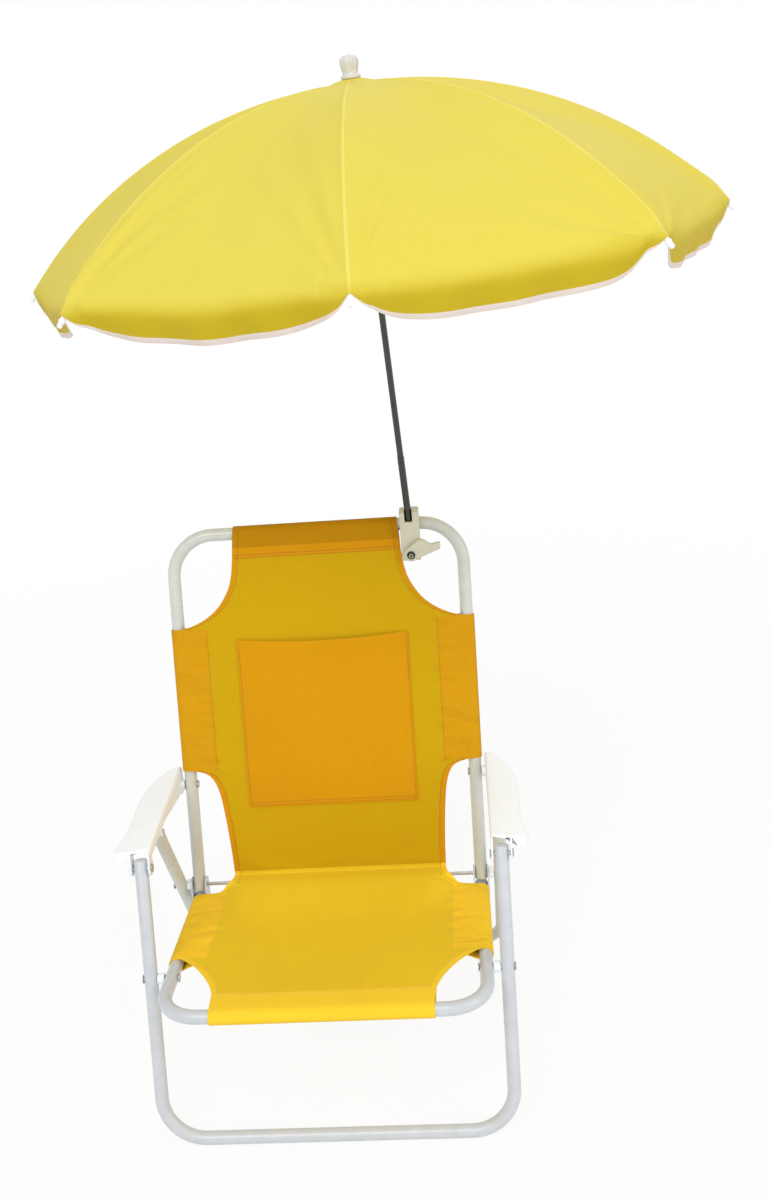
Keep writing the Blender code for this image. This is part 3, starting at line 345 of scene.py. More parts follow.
def build_weave() -> Graph:
    """Threads over and under each other, with slubs along both directions."""
    graph, inputs, outputs = effect(Effect.WEAVE.value, ("Threads",), ("Height", "Slub"))
    scaled = graph.add("VectorMath", operation="SCALE")
    graph.feed(scaled.inputs[0], inputs["Vector"])
    graph.feed(scaled.inputs["Scale"], inputs["Threads"])
    warp, weft = (
        graph.math("SINE", graph.math("MULTIPLY", graph.part(scaled.outputs[0], axis), math.pi)) for axis in (0, 1)
    )
    crossing = graph.math("MULTIPLY", warp, weft)
    graph.feed(outputs["Height"], graph.math("ADD", graph.math("MULTIPLY", crossing, 0.5), 0.5))
    along = graph.noise(graph.stretch(scaled.outputs[0], (0.03, 1.0, 1.0)), 0.7, 2.0)
    across = graph.noise(graph.stretch(scaled.outputs[0], (1.0, 0.03, 1.0)), 0.7, 2.0)
    graph.feed(outputs["Slub"], graph.math("MULTIPLY", graph.math("ADD", along, across), 0.5))
    return graph


def build_grain() -> Graph:
    """A fine grain and a broad one."""
    graph, inputs, outputs = effect(Effect.GRAIN.value, ("Scale",), ("Fine", "Broad"))
    graph.feed(outputs["Fine"], graph.noise(inputs["Vector"], inputs["Scale"], 4.0))
    broad = graph.math("MULTIPLY", inputs["Scale"], 0.05)
    graph.feed(outputs["Broad"], graph.noise(inputs["Vector"], broad, 2.0))
    return graph


def build_scuffs() -> Graph:
    """Sparse patches, wherever two noises are both high."""
    graph, inputs, outputs = effect(Effect.SCUFFS.value, ("Scale", "Level"), ("Mask",))
    patches = graph.noise(inputs["Vector"], inputs["Scale"], 5.0)
    streaks = graph.noise(graph.stretch(inputs["Vector"], (1.0, 1.0, 4.0)), inputs["Scale"], 2.0)
    both = graph.math("MULTIPLY", patches, streaks)
    above = graph.math("SUBTRACT", both, inputs["Level"])
    graph.feed(outputs["Mask"], graph.math("MULTIPLY", above, 9.0, clamp=True))
    return graph


def build_rumple() -> Graph:
    """Soft creases of sewn cloth, long along one direction."""
    graph, inputs, outputs = effect(Effect.RUMPLE.value, ("Scale",), ("Height", "Shade"))
    slow = graph.noise(graph.stretch(inputs["Vector"], (1.0, 0.45, 1.0)), inputs["Scale"], 1.5)
    bent = graph.noise(graph.stretch(inputs["Vector"], (2.3, 0.8, 1.0)), inputs["Scale"])
    graph.settle(bent.node, Distortion=0.8)
    height = graph.math("ADD", graph.math("MULTIPLY", slow, 0.65), graph.math("MULTIPLY", bent, 0.35))
    graph.feed(outputs["Height"], height)
    graph.feed(outputs["Shade"], slow)
    return graph


EFFECT_BUILDERS = {
    Effect.WEAVE: build_weave,
    Effect.GRAIN: build_grain,
    Effect.SCUFFS: build_scuffs,
    Effect.RUMPLE: build_rumple,
}


def new_material(name: str) -> tuple[bpy.types.Material, Graph, bpy.types.Node]:
    """Starts a material with a Principled shader.

    Args:
        name: The finish's name.

    Returns:
        The material, its graph and its shader.
    """
    material = bpy.data.materials.new(name)
    material.use_nodes = True
    graph = Graph(material.node_tree)
    return material, graph, material.node_tree.nodes["Principled BSDF"]


# Shares and depths that all hard finishes or all cloths have alike
GRAIN_DEPTH = 0.0004
CREASE_DEPTH = 0.02
SCUFF_SCALE = 60.0
WORN_SHARE = 0.35
GRAIN_ROUGHNESS = 0.16
SCUFF_ROUGHNESS = 0.12
THREAD_SHADE = 0.22


@dataclass(frozen=True)
class HardFinish:
    """A painted, moulded or metal surface with grain, uneven tone and light scuffs."""

    name: str
    colour: tuple[float, float, float]
    shade: tuple[float, float, float]
    roughness: float = 0.4
    metallic: float = 0.0
    coat: float = 0.0
    grain: float = 900.0
    relief: float = 0.04
    scuff: float = 0.34
    brushed: tuple[float, float, float] = (1.0, 1.0, 1.0)

    def build(self) -> bpy.types.Material:
        """Makes the material."""
        material, graph, shader = new_material(self.name)
        place = graph.add("TexCoord").outputs["Object"]
        grain = Effect.GRAIN.place(graph, graph.stretch(place, self.brushed), Scale=self.grain)
        scuffs = Effect.SCUFFS.place(graph, place, Scale=SCUFF_SCALE, Level=self.scuff)["Mask"]
        tone = graph.mix(grain["Broad"], srgb(*self.colour), srgb(*self.shade))
        worn = graph.mix(WORN_SHARE, tone, srgb(*self.shade))
        graph.feed(shader.inputs["Base Color"], graph.mix(scuffs, tone, worn))
        graph.settle(shader, Metallic=self.metallic, Coat_Weight=self.coat, Coat_Roughness=0.2)
        rough = graph.math("MULTIPLY_ADD", grain["Fine"], GRAIN_ROUGHNESS, self.roughness - GRAIN_ROUGHNESS / 2)
        scuffed = graph.math("MULTIPLY", scuffs, SCUFF_ROUGHNESS)
        graph.feed(shader.inputs["Roughness"], graph.math("ADD", rough, scuffed))
        graph.feed(shader.inputs["Normal"], graph.bump(grain["Fine"], self.relief, GRAIN_DEPTH))
        return material


@dataclass(frozen=True)
class ClothFinish:
    """Woven cloth, patterned on the flat cut of its own UV map."""

    name: str
    colour: tuple[float, float, float]
    shade: tuple[float, float, float]
    threads: float = 900.0
    roughness: float = 0.8
    sheen: float = 0.02
    rumple: float = 9.0
    relief: float = 0.35
    crease: float = 0.25
    mottle: float = 0.5
    drape: tuple[float, float, float] = (1.0, 1.0, 1.0)
    # A darker colour that the cloth goes over to along its cut, from hem_from to hem_to: a painted shade on the
    # canopy's down-turned valance.
    valance_shade_colour: tuple[float, float, float] | None = None
    hem_from: float = 0.0
    hem_to: float = 1.0

    def build(self) -> bpy.types.Material:
        """Makes the material."""
        material, graph, shader = new_material(self.name)
        cut = graph.add("UVMap", uv_map=CUT).outputs[0]
        weave = Effect.WEAVE.place(graph, cut, Threads=self.threads)
        rumple = Effect.RUMPLE.place(graph, graph.stretch(cut, self.drape), Scale=self.rumple)
        uneven = graph.math("MULTIPLY", graph.math("ADD", rumple["Shade"], weave["Slub"]), self.mottle)
        tone = graph.mix(uneven, srgb(*self.colour), srgb(*self.shade))
        # Paints shade over the cloth near its hem, where the valance turns down.
        if self.valance_shade_colour:
            tone = graph.mix(self.towards_valance_shade(graph, cut), tone, srgb(*self.valance_shade_colour))
        thread = graph.math("MULTIPLY", graph.math("SUBTRACT", 1.0, weave["Height"]), THREAD_SHADE)
        graph.feed(shader.inputs["Base Color"], graph.mix(thread, tone, srgb(*self.shade)))
        graph.settle(shader, Roughness=self.roughness, Sheen_Weight=self.sheen, Sheen_Roughness=0.5)
        graph.settle(shader, Specular_IOR_Level=0.12)
        folds = graph.bump(rumple["Height"], self.crease, CREASE_DEPTH)
        graph.feed(shader.inputs["Normal"], graph.bump(weave["Height"], self.relief, GRAIN_DEPTH, folds))
        return material

    def towards_valance_shade(self, graph: Graph, cut: bpy.types.NodeSocket) -> bpy.types.NodeSocket:
        """How far the cloth has gone over to its painted valance shade, along its cut."""
        spread = graph.add("MapRange", interpolation_type="SMOOTHSTEP")
        graph.feed(spread.inputs["Value"], graph.part(cut, 1))
        graph.settle(spread, From_Min=self.hem_from, From_Max=self.hem_to)
        return spread.outputs[0]


class Finish(Enum):
    """The object's finishes, each built once when it is first used."""

    FRAME = HardFinish("white_powder_coat", (210, 214, 219), (192, 197, 202), 0.34, coat=0.25, grain=1400.0)
    # The back tube and rear leg wear a warmer copy of the same white coat; the tint is painted bounce light from the
    # yellow cloth.
    BACK_TUBE = HardFinish("white_powder_coat_bounce_tint", (214, 217, 213), (199, 202, 195), 0.36, coat=0.25, grain=1400.0)
    PLASTIC = HardFinish("white_moulded_plastic", (247, 251, 255), (241, 247, 254), 0.42, grain=700.0)
    IVORY = HardFinish("ivory_moulded_plastic", (215, 214, 196), (197, 195, 171), 0.4, grain=700.0)
    KNOB = HardFinish("white_turned_plastic", (226, 225, 222), (206, 205, 200), 0.38, grain=700.0)
    RIVET = HardFinish("zinc_rivets", (206, 206, 200), (168, 168, 162), 0.36, metallic=0.7, grain=900.0)
    SCREW = HardFinish("dark_screw", (66, 66, 62), (38, 38, 36), 0.4, metallic=0.7, grain=900.0)
    POLE = HardFinish(
        "brushed_pole_steel", (96, 97, 91), (52, 53, 49), 0.3, metallic=1.0, grain=500.0, brushed=(1.0, 1.0, 0.03)
    )
    SLING = ClothFinish("sling_cloth_single", (209, 171, 13), (197, 155, 5), crease=0.35)
    SLEEVE = ClothFinish(
        "sling_cloth_doubled", (220, 165, 18), (203, 143, 8), rumple=24.0, crease=0.8, drape=(0.35, 1.6, 1.0)
    )
    TOP_SLEEVE = ClothFinish("top_sleeve_cloth", (198, 142, 6), (178, 123, 2), crease=0.4)
    HEM_BAND = ClothFinish("hem_band_cloth", (219, 155, 12), (205, 140, 6), crease=0.4)
    # The seat's cloth, hem and sleeves are brighter copies of the back's: painted light on the top-facing seat, which
    # is one cloth with the back.
    SEAT_CLOTH = ClothFinish("seat_cloth_single_painted_light", (239, 205, 46), (229, 191, 32), crease=0.35)
    SEAT_HEM = ClothFinish("seat_hem_cloth_painted_light", (251, 213, 56), (244, 202, 44), crease=0.3)
    SEAT_SLEEVE = ClothFinish(
        "seat_cloth_doubled_painted_light", (250, 208, 50), (243, 195, 36), rumple=24.0, crease=0.8, drape=(0.35, 1.6, 1.0)
    )
    POCKET = ClothFinish("pocket_cloth", (220, 159, 12), (206, 143, 4), crease=0.5)
    # The canopy and its seam strips go over to a darker colour at the valance, a painted shade of the down-turned
    # cloth.
    CANOPY = ClothFinish(
        "canopy_cloth", (226, 211, 90), (216, 198, 74), 1500.0, roughness=0.6, rumple=5.0, relief=0.12, crease=0.5,
        valance_shade_colour=(197, 172, 22), hem_from=0.378, hem_to=0.402,
    )
    # The seam strip's lighter colour is a painted highlight on the seam's ridge.
    GORE_SEAM = ClothFinish(
        "canopy_seam_painted_highlight", (234, 221, 112), (226, 210, 94), 1500.0, roughness=0.6, relief=0.2,
        valance_shade_colour=(204, 180, 36), hem_from=0.378, hem_to=0.402,
    )
    TAPE = ClothFinish("white_edge_tape", (236, 224, 216), (222, 206, 196), 1200.0, rumple=30.0)
    THREAD = HardFinish("sewing_thread", (200, 132, 18), (182, 114, 8), 0.8, grain=2500.0)
    # The seat's thread is a paler copy of the back's: painted light on the top-facing seat.
    SEAT_THREAD = HardFinish("seat_sewing_thread_painted_light", (250, 216, 92), (238, 200, 66), 0.8, grain=2500.0)

    def material(self) -> bpy.types.Material:
        """The finish's material."""
        return bpy.data.materials.get(self.value.name) or self.value.build()


class Solid(Enum):
    """The record's material slots."""

    PAINT = "frame_paint"
    PLASTIC = "white_plastic"
    SLING = "sling_fabric"
    POCKET = "pocket_fabric"
    CANOPY = "canopy_fabric"
    RIVET = "rivet_steel"
    POLE = "pole_steel"


def add_piece(name: str, shape: bmesh.types.BMesh, finishes: tuple[Finish, ...]) -> bpy.types.Object:
    """Turns a bmesh in world places into a smooth piece.

    Args:
        name: The piece's name.
        shape: Its mesh, which is freed.
        finishes: Its finishes, in the order of its material slots.

    Returns:
        The new piece, at the origin.
    """
    mesh = bpy.data.meshes.new(name)
    shape.to_mesh(mesh)
    shape.free()
    for finish in finishes:
        mesh.materials.append(finish.material())
    mesh.shade_smooth()
    piece = bpy.data.objects.new(name, mesh)
    bpy.context.scene.collection.objects.link(piece)
    return piece


def new_points(grown: list[object]) -> list[bmesh.types.BMVert]:
    """The points among what a bmesh operator made."""
    return [item for item in grown if isinstance(item, bmesh.types.BMVert)]


def new_edges(grown: list[object]) -> list[bmesh.types.BMEdge]:
    """The edges among what a bmesh operator made."""
    return [item for item in grown if isinstance(item, bmesh.types.BMEdge)]


def soften(piece: bpy.types.Object, width: float, segments: int, corner: float) -> None:
    """Keeps a rigid piece's corners crisp in shading and rounds their edges.

    Args:
        piece: The piece.
        width: The rounding's width.
        segments: How many steps it has.
        corner: Edges that turn by more than this many degrees are rounded.
    """
    piece.data.set_sharp_from_angle(angle=math.radians(CRISP_TURN))
    soft = piece.modifiers.new("soft_edges", "BEVEL")
    soft.width = width
    soft.segments = segments
    soft.limit_method = "ANGLE"
    soft.angle_limit = math.radians(corner)


def thicken(piece: bpy.types.Object, thickness: float) -> None:
    """Gives a sheet its thickness on both sides of its mesh, after one smoothing."""
    soft = piece.modifiers.new("soft", "SUBSURF")
    soft.levels = soft.render_levels = 1
    soft.boundary_smooth = "PRESERVE_CORNERS"
    wall = piece.modifiers.new("cloth", "SOLIDIFY")
    wall.thickness = thickness
    wall.offset = 0.0


@dataclass(frozen=True)
class CutSize:
    """A sheet's flat cut, read from its UV map."""

    width: float
    length: float
    area: float

    @classmethod
    def of(cls, piece: bpy.types.Object) -> CutSize:
        """Measures the UV map.

        Args:
            piece: A sheet whose UV map is in metres.

        Returns:
            Its width, length and area.
        """
        layer = piece.data.uv_layers[CUT].data
        spots = [item.uv.copy() for item in layer]
        area = 0.0
        for polygon in piece.data.polygons:
            corners = [spots[index] for index in polygon.loop_indices]
            for first, second in zip(corners, corners[1:] + corners[:1]):
                area += (first.x * second.y - second.x * first.y) / 2
        across = [spot.x for spot in spots]
        along = [spot.y for spot in spots]
        return cls(max(across) - min(across), max(along) - min(along), abs(area))


class ClothGrid:
    """A sheet of cloth grown from a grid, whose points are then laid where the cloth goes."""

    def __init__(self, columns: int, rows: int) -> None:
        """Makes the flat grid.

        Args:
            columns: How many points it has across.
            rows: How many points it has along.
        """
        self.shape = bmesh.new()
        bmesh.ops.create_grid(self.shape, x_segments=columns - 1, y_segments=rows - 1, size=1)
        verts = sorted(self.shape.verts, key=lambda vert: (round(vert.co.y, 5), round(vert.co.x, 5)))
        self.rows = [verts[row * columns : (row + 1) * columns] for row in range(rows)]
        self.index = {vert: (row, column) for row, line in enumerate(self.rows) for column, vert in enumerate(line)}
        self.cut = self.shape.loops.layers.uv.new(CUT)

    def lay(self, row: int, column: int, place: Vector) -> None:
        """Moves one of the grid's points to its place in the world."""
        self.rows[row][column].co = place

    def mark(self, flat: dict[tuple[int, int], tuple[float, float]]) -> None:
        """Writes each point's place in the flat cut to the UV map."""
        for face in self.shape.faces:
            for loop in face.loops:
                loop[self.cut].uv = flat[self.index[loop.vert]]

    def face_spot(self, face: bmesh.types.BMFace) -> tuple[int, int]:
        """The lowest row and column of a face's corners."""
        spots = [self.index[vert] for vert in face.verts]
        return min(spot[0] for spot in spots), min(spot[1] for spot in spots)

    def turn_towards(self, direction: Vector) -> None:
        """Turns the faces so that most of them look along a direction, and keeps the border crisp."""
        self.shape.normal_update()
        for edge in self.shape.edges:
            edge.smooth = not edge.is_boundary
        if sum(face.normal.dot(direction) * face.calc_area() for face in self.shape.faces) < 0:
            bmesh.ops.reverse_faces(self.shape, faces=self.shape.faces)


def sleeve_loop(radius: float, stitch: float, layer: float, count: int) -> list[tuple[float, float]]:
    """A cloth loop round a tube, from the front round to the stitch line behind the front layer.

    Args:
        radius: From the tube's axis to the middle of the cloth.
        stitch: How far the stitch line is from the tube's axis.
        layer: From the middle of the front layer to the middle of the rear one at the stitch.
        count: How many steps go round the tube.

    Returns:
        Pairs of the place across from the tube's axis and the place in front of it.
    """
    depth = radius - layer
    reach = math.hypot(stitch, depth)
    turn = math.atan2(depth, stitch) + math.asin(radius / reach)
    angles = steps(math.pi / 2, -math.pi / 2 - turn, count)
    points = [(radius * math.cos(angle), radius * math.sin(angle)) for angle in angles]
    last = points[-1]
    for share in (0.34, 0.67, 1.0):
        points.append((last[0] + (-stitch - last[0]) * share, last[1] + (depth - last[1]) * share))
    return points


SLING_FINISHES = (
    Finish.SLING, Finish.SLEEVE, Finish.TOP_SLEEVE, Finish.SEAT_CLOTH, Finish.SEAT_SLEEVE, Finish.HEM_BAND,
    Finish.SEAT_HEM,
)


@dataclass
class PathRow:
    """One row of the sling: its middle point, what it is wrapped on, and its half width."""

    point: Vector
    half: float
    zone: str
    height: float


@dataclass
class Sling:
    """One cloth for back and seat, sewn round the top rail, the side tubes and the front bar."""

    cloth: float = 0.0012
    flat_half: float = 0.157
    top_hem: float = 0.027
    top_band: float = 0.019
    front_hem: float = 0.024
    stitch: float = 0.033
    sleeve_top: float = 0.2965
    sleeve_bottom: float = 0.135
    seat_sleeve_front: float = 0.090
    seat_sleeve_rear: float = 0.2193
    back_sag: float = 0.0035
    seat_sag: float = 0.0045
    back_bow: tuple[float, float] = (0.01, 0.362)
    seat_bow: tuple[float, float] = (0.020, 0.195)
    ripple: float = 0.0007
    fine_ripple: float = 0.00022
    pucker: float = 0.0036
    seam_outside: float = 0.013
    seam_inside: float = 0.007
    gather: float = 0.0024
    gather_at: float = 0.022
    gather_spread: float = 0.016
    crease_seat: float = 0.022
    crease_back: float = 0.036
    foot_depth: float = 0.0195
    climb_from: float = 0.078
    climb: float = 0.075
    wrap_steps: int = 9
    beside_seam: tuple[float, ...] = (-0.016, -0.006, 0.004, 0.014, 0.05, 0.10)
    back_edge: tuple[tuple[float, float], ...] = (
        (0.0, 0.1220), (0.030, 0.1225), (0.060, 0.1240), (0.080, 0.1255), (0.100, 0.1275), (0.110, 0.1292),
        (0.118, 0.1315), (0.1245, 0.1345), (0.1295, 0.1385), (0.1325, 0.1450), (0.1340, 0.1505), (0.135, 0.157),
        (0.2965, 0.157), (0.298, 0.150), (0.301, 0.141), (0.306, 0.130), (0.313, 0.120), (0.3205, 0.112),
        (0.3295, 0.106), (0.338, 0.101), (0.346, 0.098), (0.357, 0.0955), (0.373, 0.0935), (0.408, 0.0905),
    )
    seat_edge: tuple[tuple[float, float], ...] = (
        (0.0, 0.110), (0.024, 0.1115), (0.029, 0.1128), (0.040, 0.1165), (0.052, 0.1225), (0.063, 0.1295),
        (0.073, 0.1370), (0.081, 0.1450), (0.0865, 0.1515), (0.090, 0.157), (0.2193, 0.157), (0.2195, 0.1495),
        (0.2203, 0.1415), (0.2215, 0.1352), (0.2240, 0.1288), (0.2265, 0.1255), (0.2315, 0.1230), (0.242, 0.122),
    )
    top_rows: tuple[float, ...] = (
        0.392, 0.384, 0.3785, 0.3755, 0.373, 0.3705, 0.367, 0.362, 0.357, 0.3515, 0.346, 0.338, 0.3295,
        0.3205, 0.313, 0.306, 0.301, 0.298,
    )
    low_rows: tuple[float, ...] = (
        0.1340, 0.1325, 0.1295, 0.1245, 0.118, 0.110, 0.100, 0.090, 0.080, 0.070, 0.060, 0.050, 0.040,
        0.032, 0.025, 0.019, 0.014, 0.0105,
    )
    rear_rows: tuple[float, ...] = (0.2412, 0.2385, 0.2350, 0.2315, 0.2290, 0.2265, 0.2240, 0.2215, 0.2203)
    front_rows: tuple[float, ...] = (
        0.0865, 0.081, 0.073, 0.063, 0.052, 0.045, 0.040, 0.034, 0.029, 0.0265, 0.024, 0.0215, 0.016, 0.008,
    )
    held: tuple[tuple[float, float], ...] = (
        (0.083, 0.080), (0.121, 0.098), (0.150, 0.110), (0.154, 0.113), (0.158, 0.130),
    )

    @property
    def radius(self) -> float:
        """From a tube's axis to the middle of the cloth round it."""
        return TUBE + CLEAR + self.cloth / 2

    @property
    def seam(self) -> float:
        """From the chair's middle to the stitch line of a side sleeve."""
        return RAIL - self.stitch

    def back_point(self, height: float) -> Vector:
        """The middle of the back's cloth at a height up the back."""
        fall = max(0.0, 1 - height / self.sleeve_bottom)
        return BACK @ Vector((0, -self.radius + self.foot_depth * fall**1.12, height))

    def seat_point(self, rearward: float) -> Vector:
        """The middle of the seat's cloth at a distance behind the front bar."""
        along = rearward - SEAT_FRONT
        return SEAT @ Vector((0, along, self.radius + self.rise(along)))

    def rise(self, along: float) -> float:
        """How far the seat's middle is above the rails' plane, up to the hinge axle."""
        share = min(max((along - (HINGE_ALONG - self.climb_from)) / self.climb, 0.0), 1.0)
        top = AXLE_TOP + CLEAR + self.cloth / 2 - self.radius
        return top * (0.55 * share**2 + 0.45 * smooth(share))

    def path(self) -> list[PathRow]:
        """The sling's rows, from the stitch behind the top rail to the stitch under the front bar."""
        rows = []
        for across, front in reversed(sleeve_loop(self.radius, self.top_hem, self.cloth, self.wrap_steps)):
            height = BACK_LENGTH + across
            rows.append(PathRow(BACK @ Vector((0, -front, height)), between(self.back_edge, height), "hem", height))
        for height in (*self.top_rows, *steps(self.sleeve_top, self.sleeve_bottom, 40), *self.low_rows):
            zone = "hem" if height > BACK_LENGTH - self.top_hem + 0.001 else "back"
            rows.append(PathRow(self.back_point(height), between(self.back_edge, height), zone, height))
        sleeve = steps(self.seat_sleeve_rear, self.seat_sleeve_front, 32)
        for rearward in (*self.rear_rows, *sleeve, *self.front_rows):
            zone = "front_hem" if rearward < self.front_hem - 0.001 else "seat"
            rows.append(PathRow(self.seat_point(rearward), between(self.seat_edge, rearward), zone, rearward))
        for across, front in sleeve_loop(self.radius, self.front_hem, self.cloth, self.wrap_steps):
            place = SEAT @ Vector((0, -SEAT_FRONT - across, front))
            rows.append(PathRow(place, between(self.seat_edge, -across), "front_hem", -across))
        return rows

    def shares(self) -> list[float]:
        """The panel's columns, as shares of its half width, close together at the sleeves' stitch lines."""
        line = self.seam / self.flat_half
        half = [*steps(0.0, line - 0.045, 14), *(line + gap for gap in self.beside_seam), 0.95, 1.0]
        return [-share for share in reversed(half[1:])] + half

    def sleeved(self, row: PathRow) -> bool:
        """Whether the row is sewn round the side tubes."""
        slack = 0.0001
        if row.zone == "back":
            return self.sleeve_bottom - slack < row.height < self.sleeve_top + slack
        return row.zone == "seat" and self.seat_sleeve_front - slack < row.height < self.seat_sleeve_rear + slack

    def pull(self, row: PathRow, across: float) -> float:
        """How far the cloth stands proud of the row's straight line.

        Args:
            row: The row.
            across: The place across the chair.

        Returns:
            The distance along the cloth's front normal.
        """
        reach = abs(across) / self.seam
        hollow = max(0.0, 1 - reach * reach)
        ripple = uneven(across * 22, row.height * 15, 3.1) * self.ripple
        ripple += uneven(across * 60, row.height * 45, 7.7) * self.fine_ripple
        beside = abs(across) - self.seam
        spread = self.seam_outside if beside > 0 else self.seam_inside
        seam = math.exp(-((beside / spread) ** 2)) if self.sleeved(row) else 0.0
        wrinkle = uneven(across * 9, row.height * 88, 1.3 if across > 0 else 8.1)
        wrinkle += 0.5 * uneven(across * 20, row.height * 190, 4.4)
        pucker = (self.pucker if row.zone == "back" else 0.5 * self.pucker) * seam * wrinkle
        if row.zone == "back":
            bow = hump(row.height, *self.back_bow)
            gather = uneven(across * 26, row.height * 60, 6.2) * self.gather
            gather *= math.exp(-(((row.height - self.gather_at) / self.gather_spread) ** 2))
            gather *= smooth((row.height - 0.008) / 0.01)
            return pucker + gather + ripple * bow - self.back_sag * hollow * bow
        if row.zone == "seat":
            bow = hump(row.height, *self.seat_bow)
            return pucker + ripple * bow - self.seat_sag * hollow * bow
        return 0.0

    def panel_place(self, row: PathRow, normal: Vector, across: float) -> Vector:
        """Where the panel's cloth lies in a row.

        Args:
            row: The row.
            normal: The cloth's front normal there.
            across: The place across the chair.

        Returns:
            The place in the world.
        """
        place = row.point + ACROSS * across + normal * self.pull(row, across)
        if row.zone == "seat":
            along = row.height - SEAT_FRONT
            drop = self.rise(along) * smooth((abs(across) - between(self.held, along)) / 0.024)
            place -= SEAT.to_3x3() @ UP * drop
        return place

    def build(self) -> bpy.types.Object:
        """Makes the sling.

        Returns:
            The piece, one sheet from the back round onto the seat.
        """
        rows = self.path()
        shares = self.shares()
        loop = sleeve_loop(self.radius, self.stitch, self.cloth, self.wrap_steps)
        lead = len(loop)
        grid = ClothGrid(len(shares) + 2 * lead, len(rows))
        points = [row.point for row in rows]
        along = [0.0]
        for first, second in zip(points, points[1:]):
            along.append(along[-1] + (second - first).length)
        wrap = [RAIL - self.flat_half]
        for first, second in zip(loop, loop[1:]):
            wrap.append(wrap[-1] + math.dist(first, second))
        flat = {}
        for index, row in enumerate(rows):
            run = (points[min(index + 1, len(rows) - 1)] - points[max(index - 1, 0)]).normalized()
            normal = Vector((0, run.z, -run.y))
            for step, share in enumerate(shares):
                across = share * row.half
                grid.lay(index, lead + step, self.panel_place(row, normal, across))
                flat[index, lead + step] = (across, along[index])
            upper = row.zone in ("back", "hem")
            body = BACK if upper else SEAT
            for step, (out, front) in enumerate(loop):
                spot = (-front, row.height) if upper else (row.height - SEAT_FRONT, front)
                local = Vector((RAIL + out, *spot))
                width = row.half + wrap[step]
                for sign, column in ((-1, lead - 1 - step), (1, lead + len(shares) + step)):
                    grid.lay(index, column, body @ Vector((local.x * sign, local.y, local.z)))
                    flat[index, column] = (width * sign, along[index])
        self.trim(grid, rows, lead, len(shares))
        grid.mark(flat)
        self.paint(grid, rows, lead, len(shares))
        grid.turn_towards(Vector((0, -0.7, 0.7)))
        piece = add_piece("sling", grid.shape, SLING_FINISHES)
        thicken(piece, self.cloth)
        return piece

    def trim(self, grid: ClothGrid, rows: list[PathRow], lead: int, panel: int) -> None:
        """Cuts away the sleeves' cloth wherever a row isn't sewn round the side tubes."""
        spare = []
        for face in grid.shape.faces:
            row, column = grid.face_spot(face)
            beside = column < lead or column >= lead + panel - 1
            if beside and not (self.sleeved(rows[row]) and self.sleeved(rows[row + 1])):
                spare.append(face)
        bmesh.ops.delete(grid.shape, geom=spare, context="FACES")

    def paint(self, grid: ClothGrid, rows: list[PathRow], lead: int, panel: int) -> None:
        """Gives hems, sleeves and plain cloth their own finishes, and the seat brighter copies of them as painted
        light.
        """
        shares = self.shares()
        for face in grid.shape.faces:
            row, column = grid.face_spot(face)
            zone, step = rows[row + 1].zone, column - lead
            middle = (shares[step] + shares[step + 1]) / 2 if 0 <= step < panel - 1 else 1.0
            sewn = self.sleeved(rows[row]) and self.sleeved(rows[row + 1])
            doubled = sewn and abs(middle) * self.flat_half > self.seam
            edging = not sewn and abs(middle) > 0.95
            if zone == "hem" or rows[row].zone == "hem":
                banded = rows[row + 1].height < BACK_LENGTH - self.top_band
                finish = Finish.HEM_BAND if banded else Finish.TOP_SLEEVE
            elif zone == "back":
                finish = Finish.HEM_BAND if edging else Finish.SLEEVE if doubled else Finish.SLING
            # The seat's faces take the brighter copies of the cloth finishes, painted light on the top-facing seat.
            elif edging or zone == "front_hem":
                finish = Finish.SEAT_HEM
            else:
                finish = Finish.SEAT_SLEEVE if doubled else Finish.SEAT_CLOTH
            face.material_index = SLING_FINISHES.index(finish)

    def dress(self, piece: bpy.types.Object) -> None:
        """Bakes the sling's place into its mesh, hides the CAD cloths and measures its cut."""
        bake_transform(piece)
        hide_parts("back_sling", "seat_sling", "sling_crease")
        size = CutSize.of(piece)


class Surface:
    """A finished sheet that seams and a pocket are laid on."""

    def __init__(self, piece: bpy.types.Object) -> None:
        """Keeps the sheet's shaped faces for looking up places on it."""
        graph = bpy.context.evaluated_depsgraph_get()
        bpy.context.view_layer.update()
        shaped = piece.evaluated_get(graph)
        mesh = shaped.to_mesh()
        self.tree = BVHTree.FromPolygons(
            [vert.co.copy() for vert in mesh.vertices], [tuple(polygon.vertices) for polygon in mesh.polygons]
        )
        shaped.to_mesh_clear()

    def hit(self, body: Matrix, above: Vector, down: Vector) -> tuple[Vector, Vector]:
        """Looks down on the sheet from a place in a body's frame.

        Args:
            body: The body's frame.
            above: The place to look from, in that frame.
            down: The direction to look in, in that frame.

        Returns:
            The place on the sheet and the sheet's normal there, in the world.
        """
        direction = (body.to_3x3() @ down).normalized()
        spot, normal, _, _ = self.tree.ray_cast(body @ above, direction)
        if spot is None:
            spot, normal, _, _ = self.tree.find_nearest(body @ above)
        if normal.dot(direction) > 0:
            normal = -normal
        return spot, normal


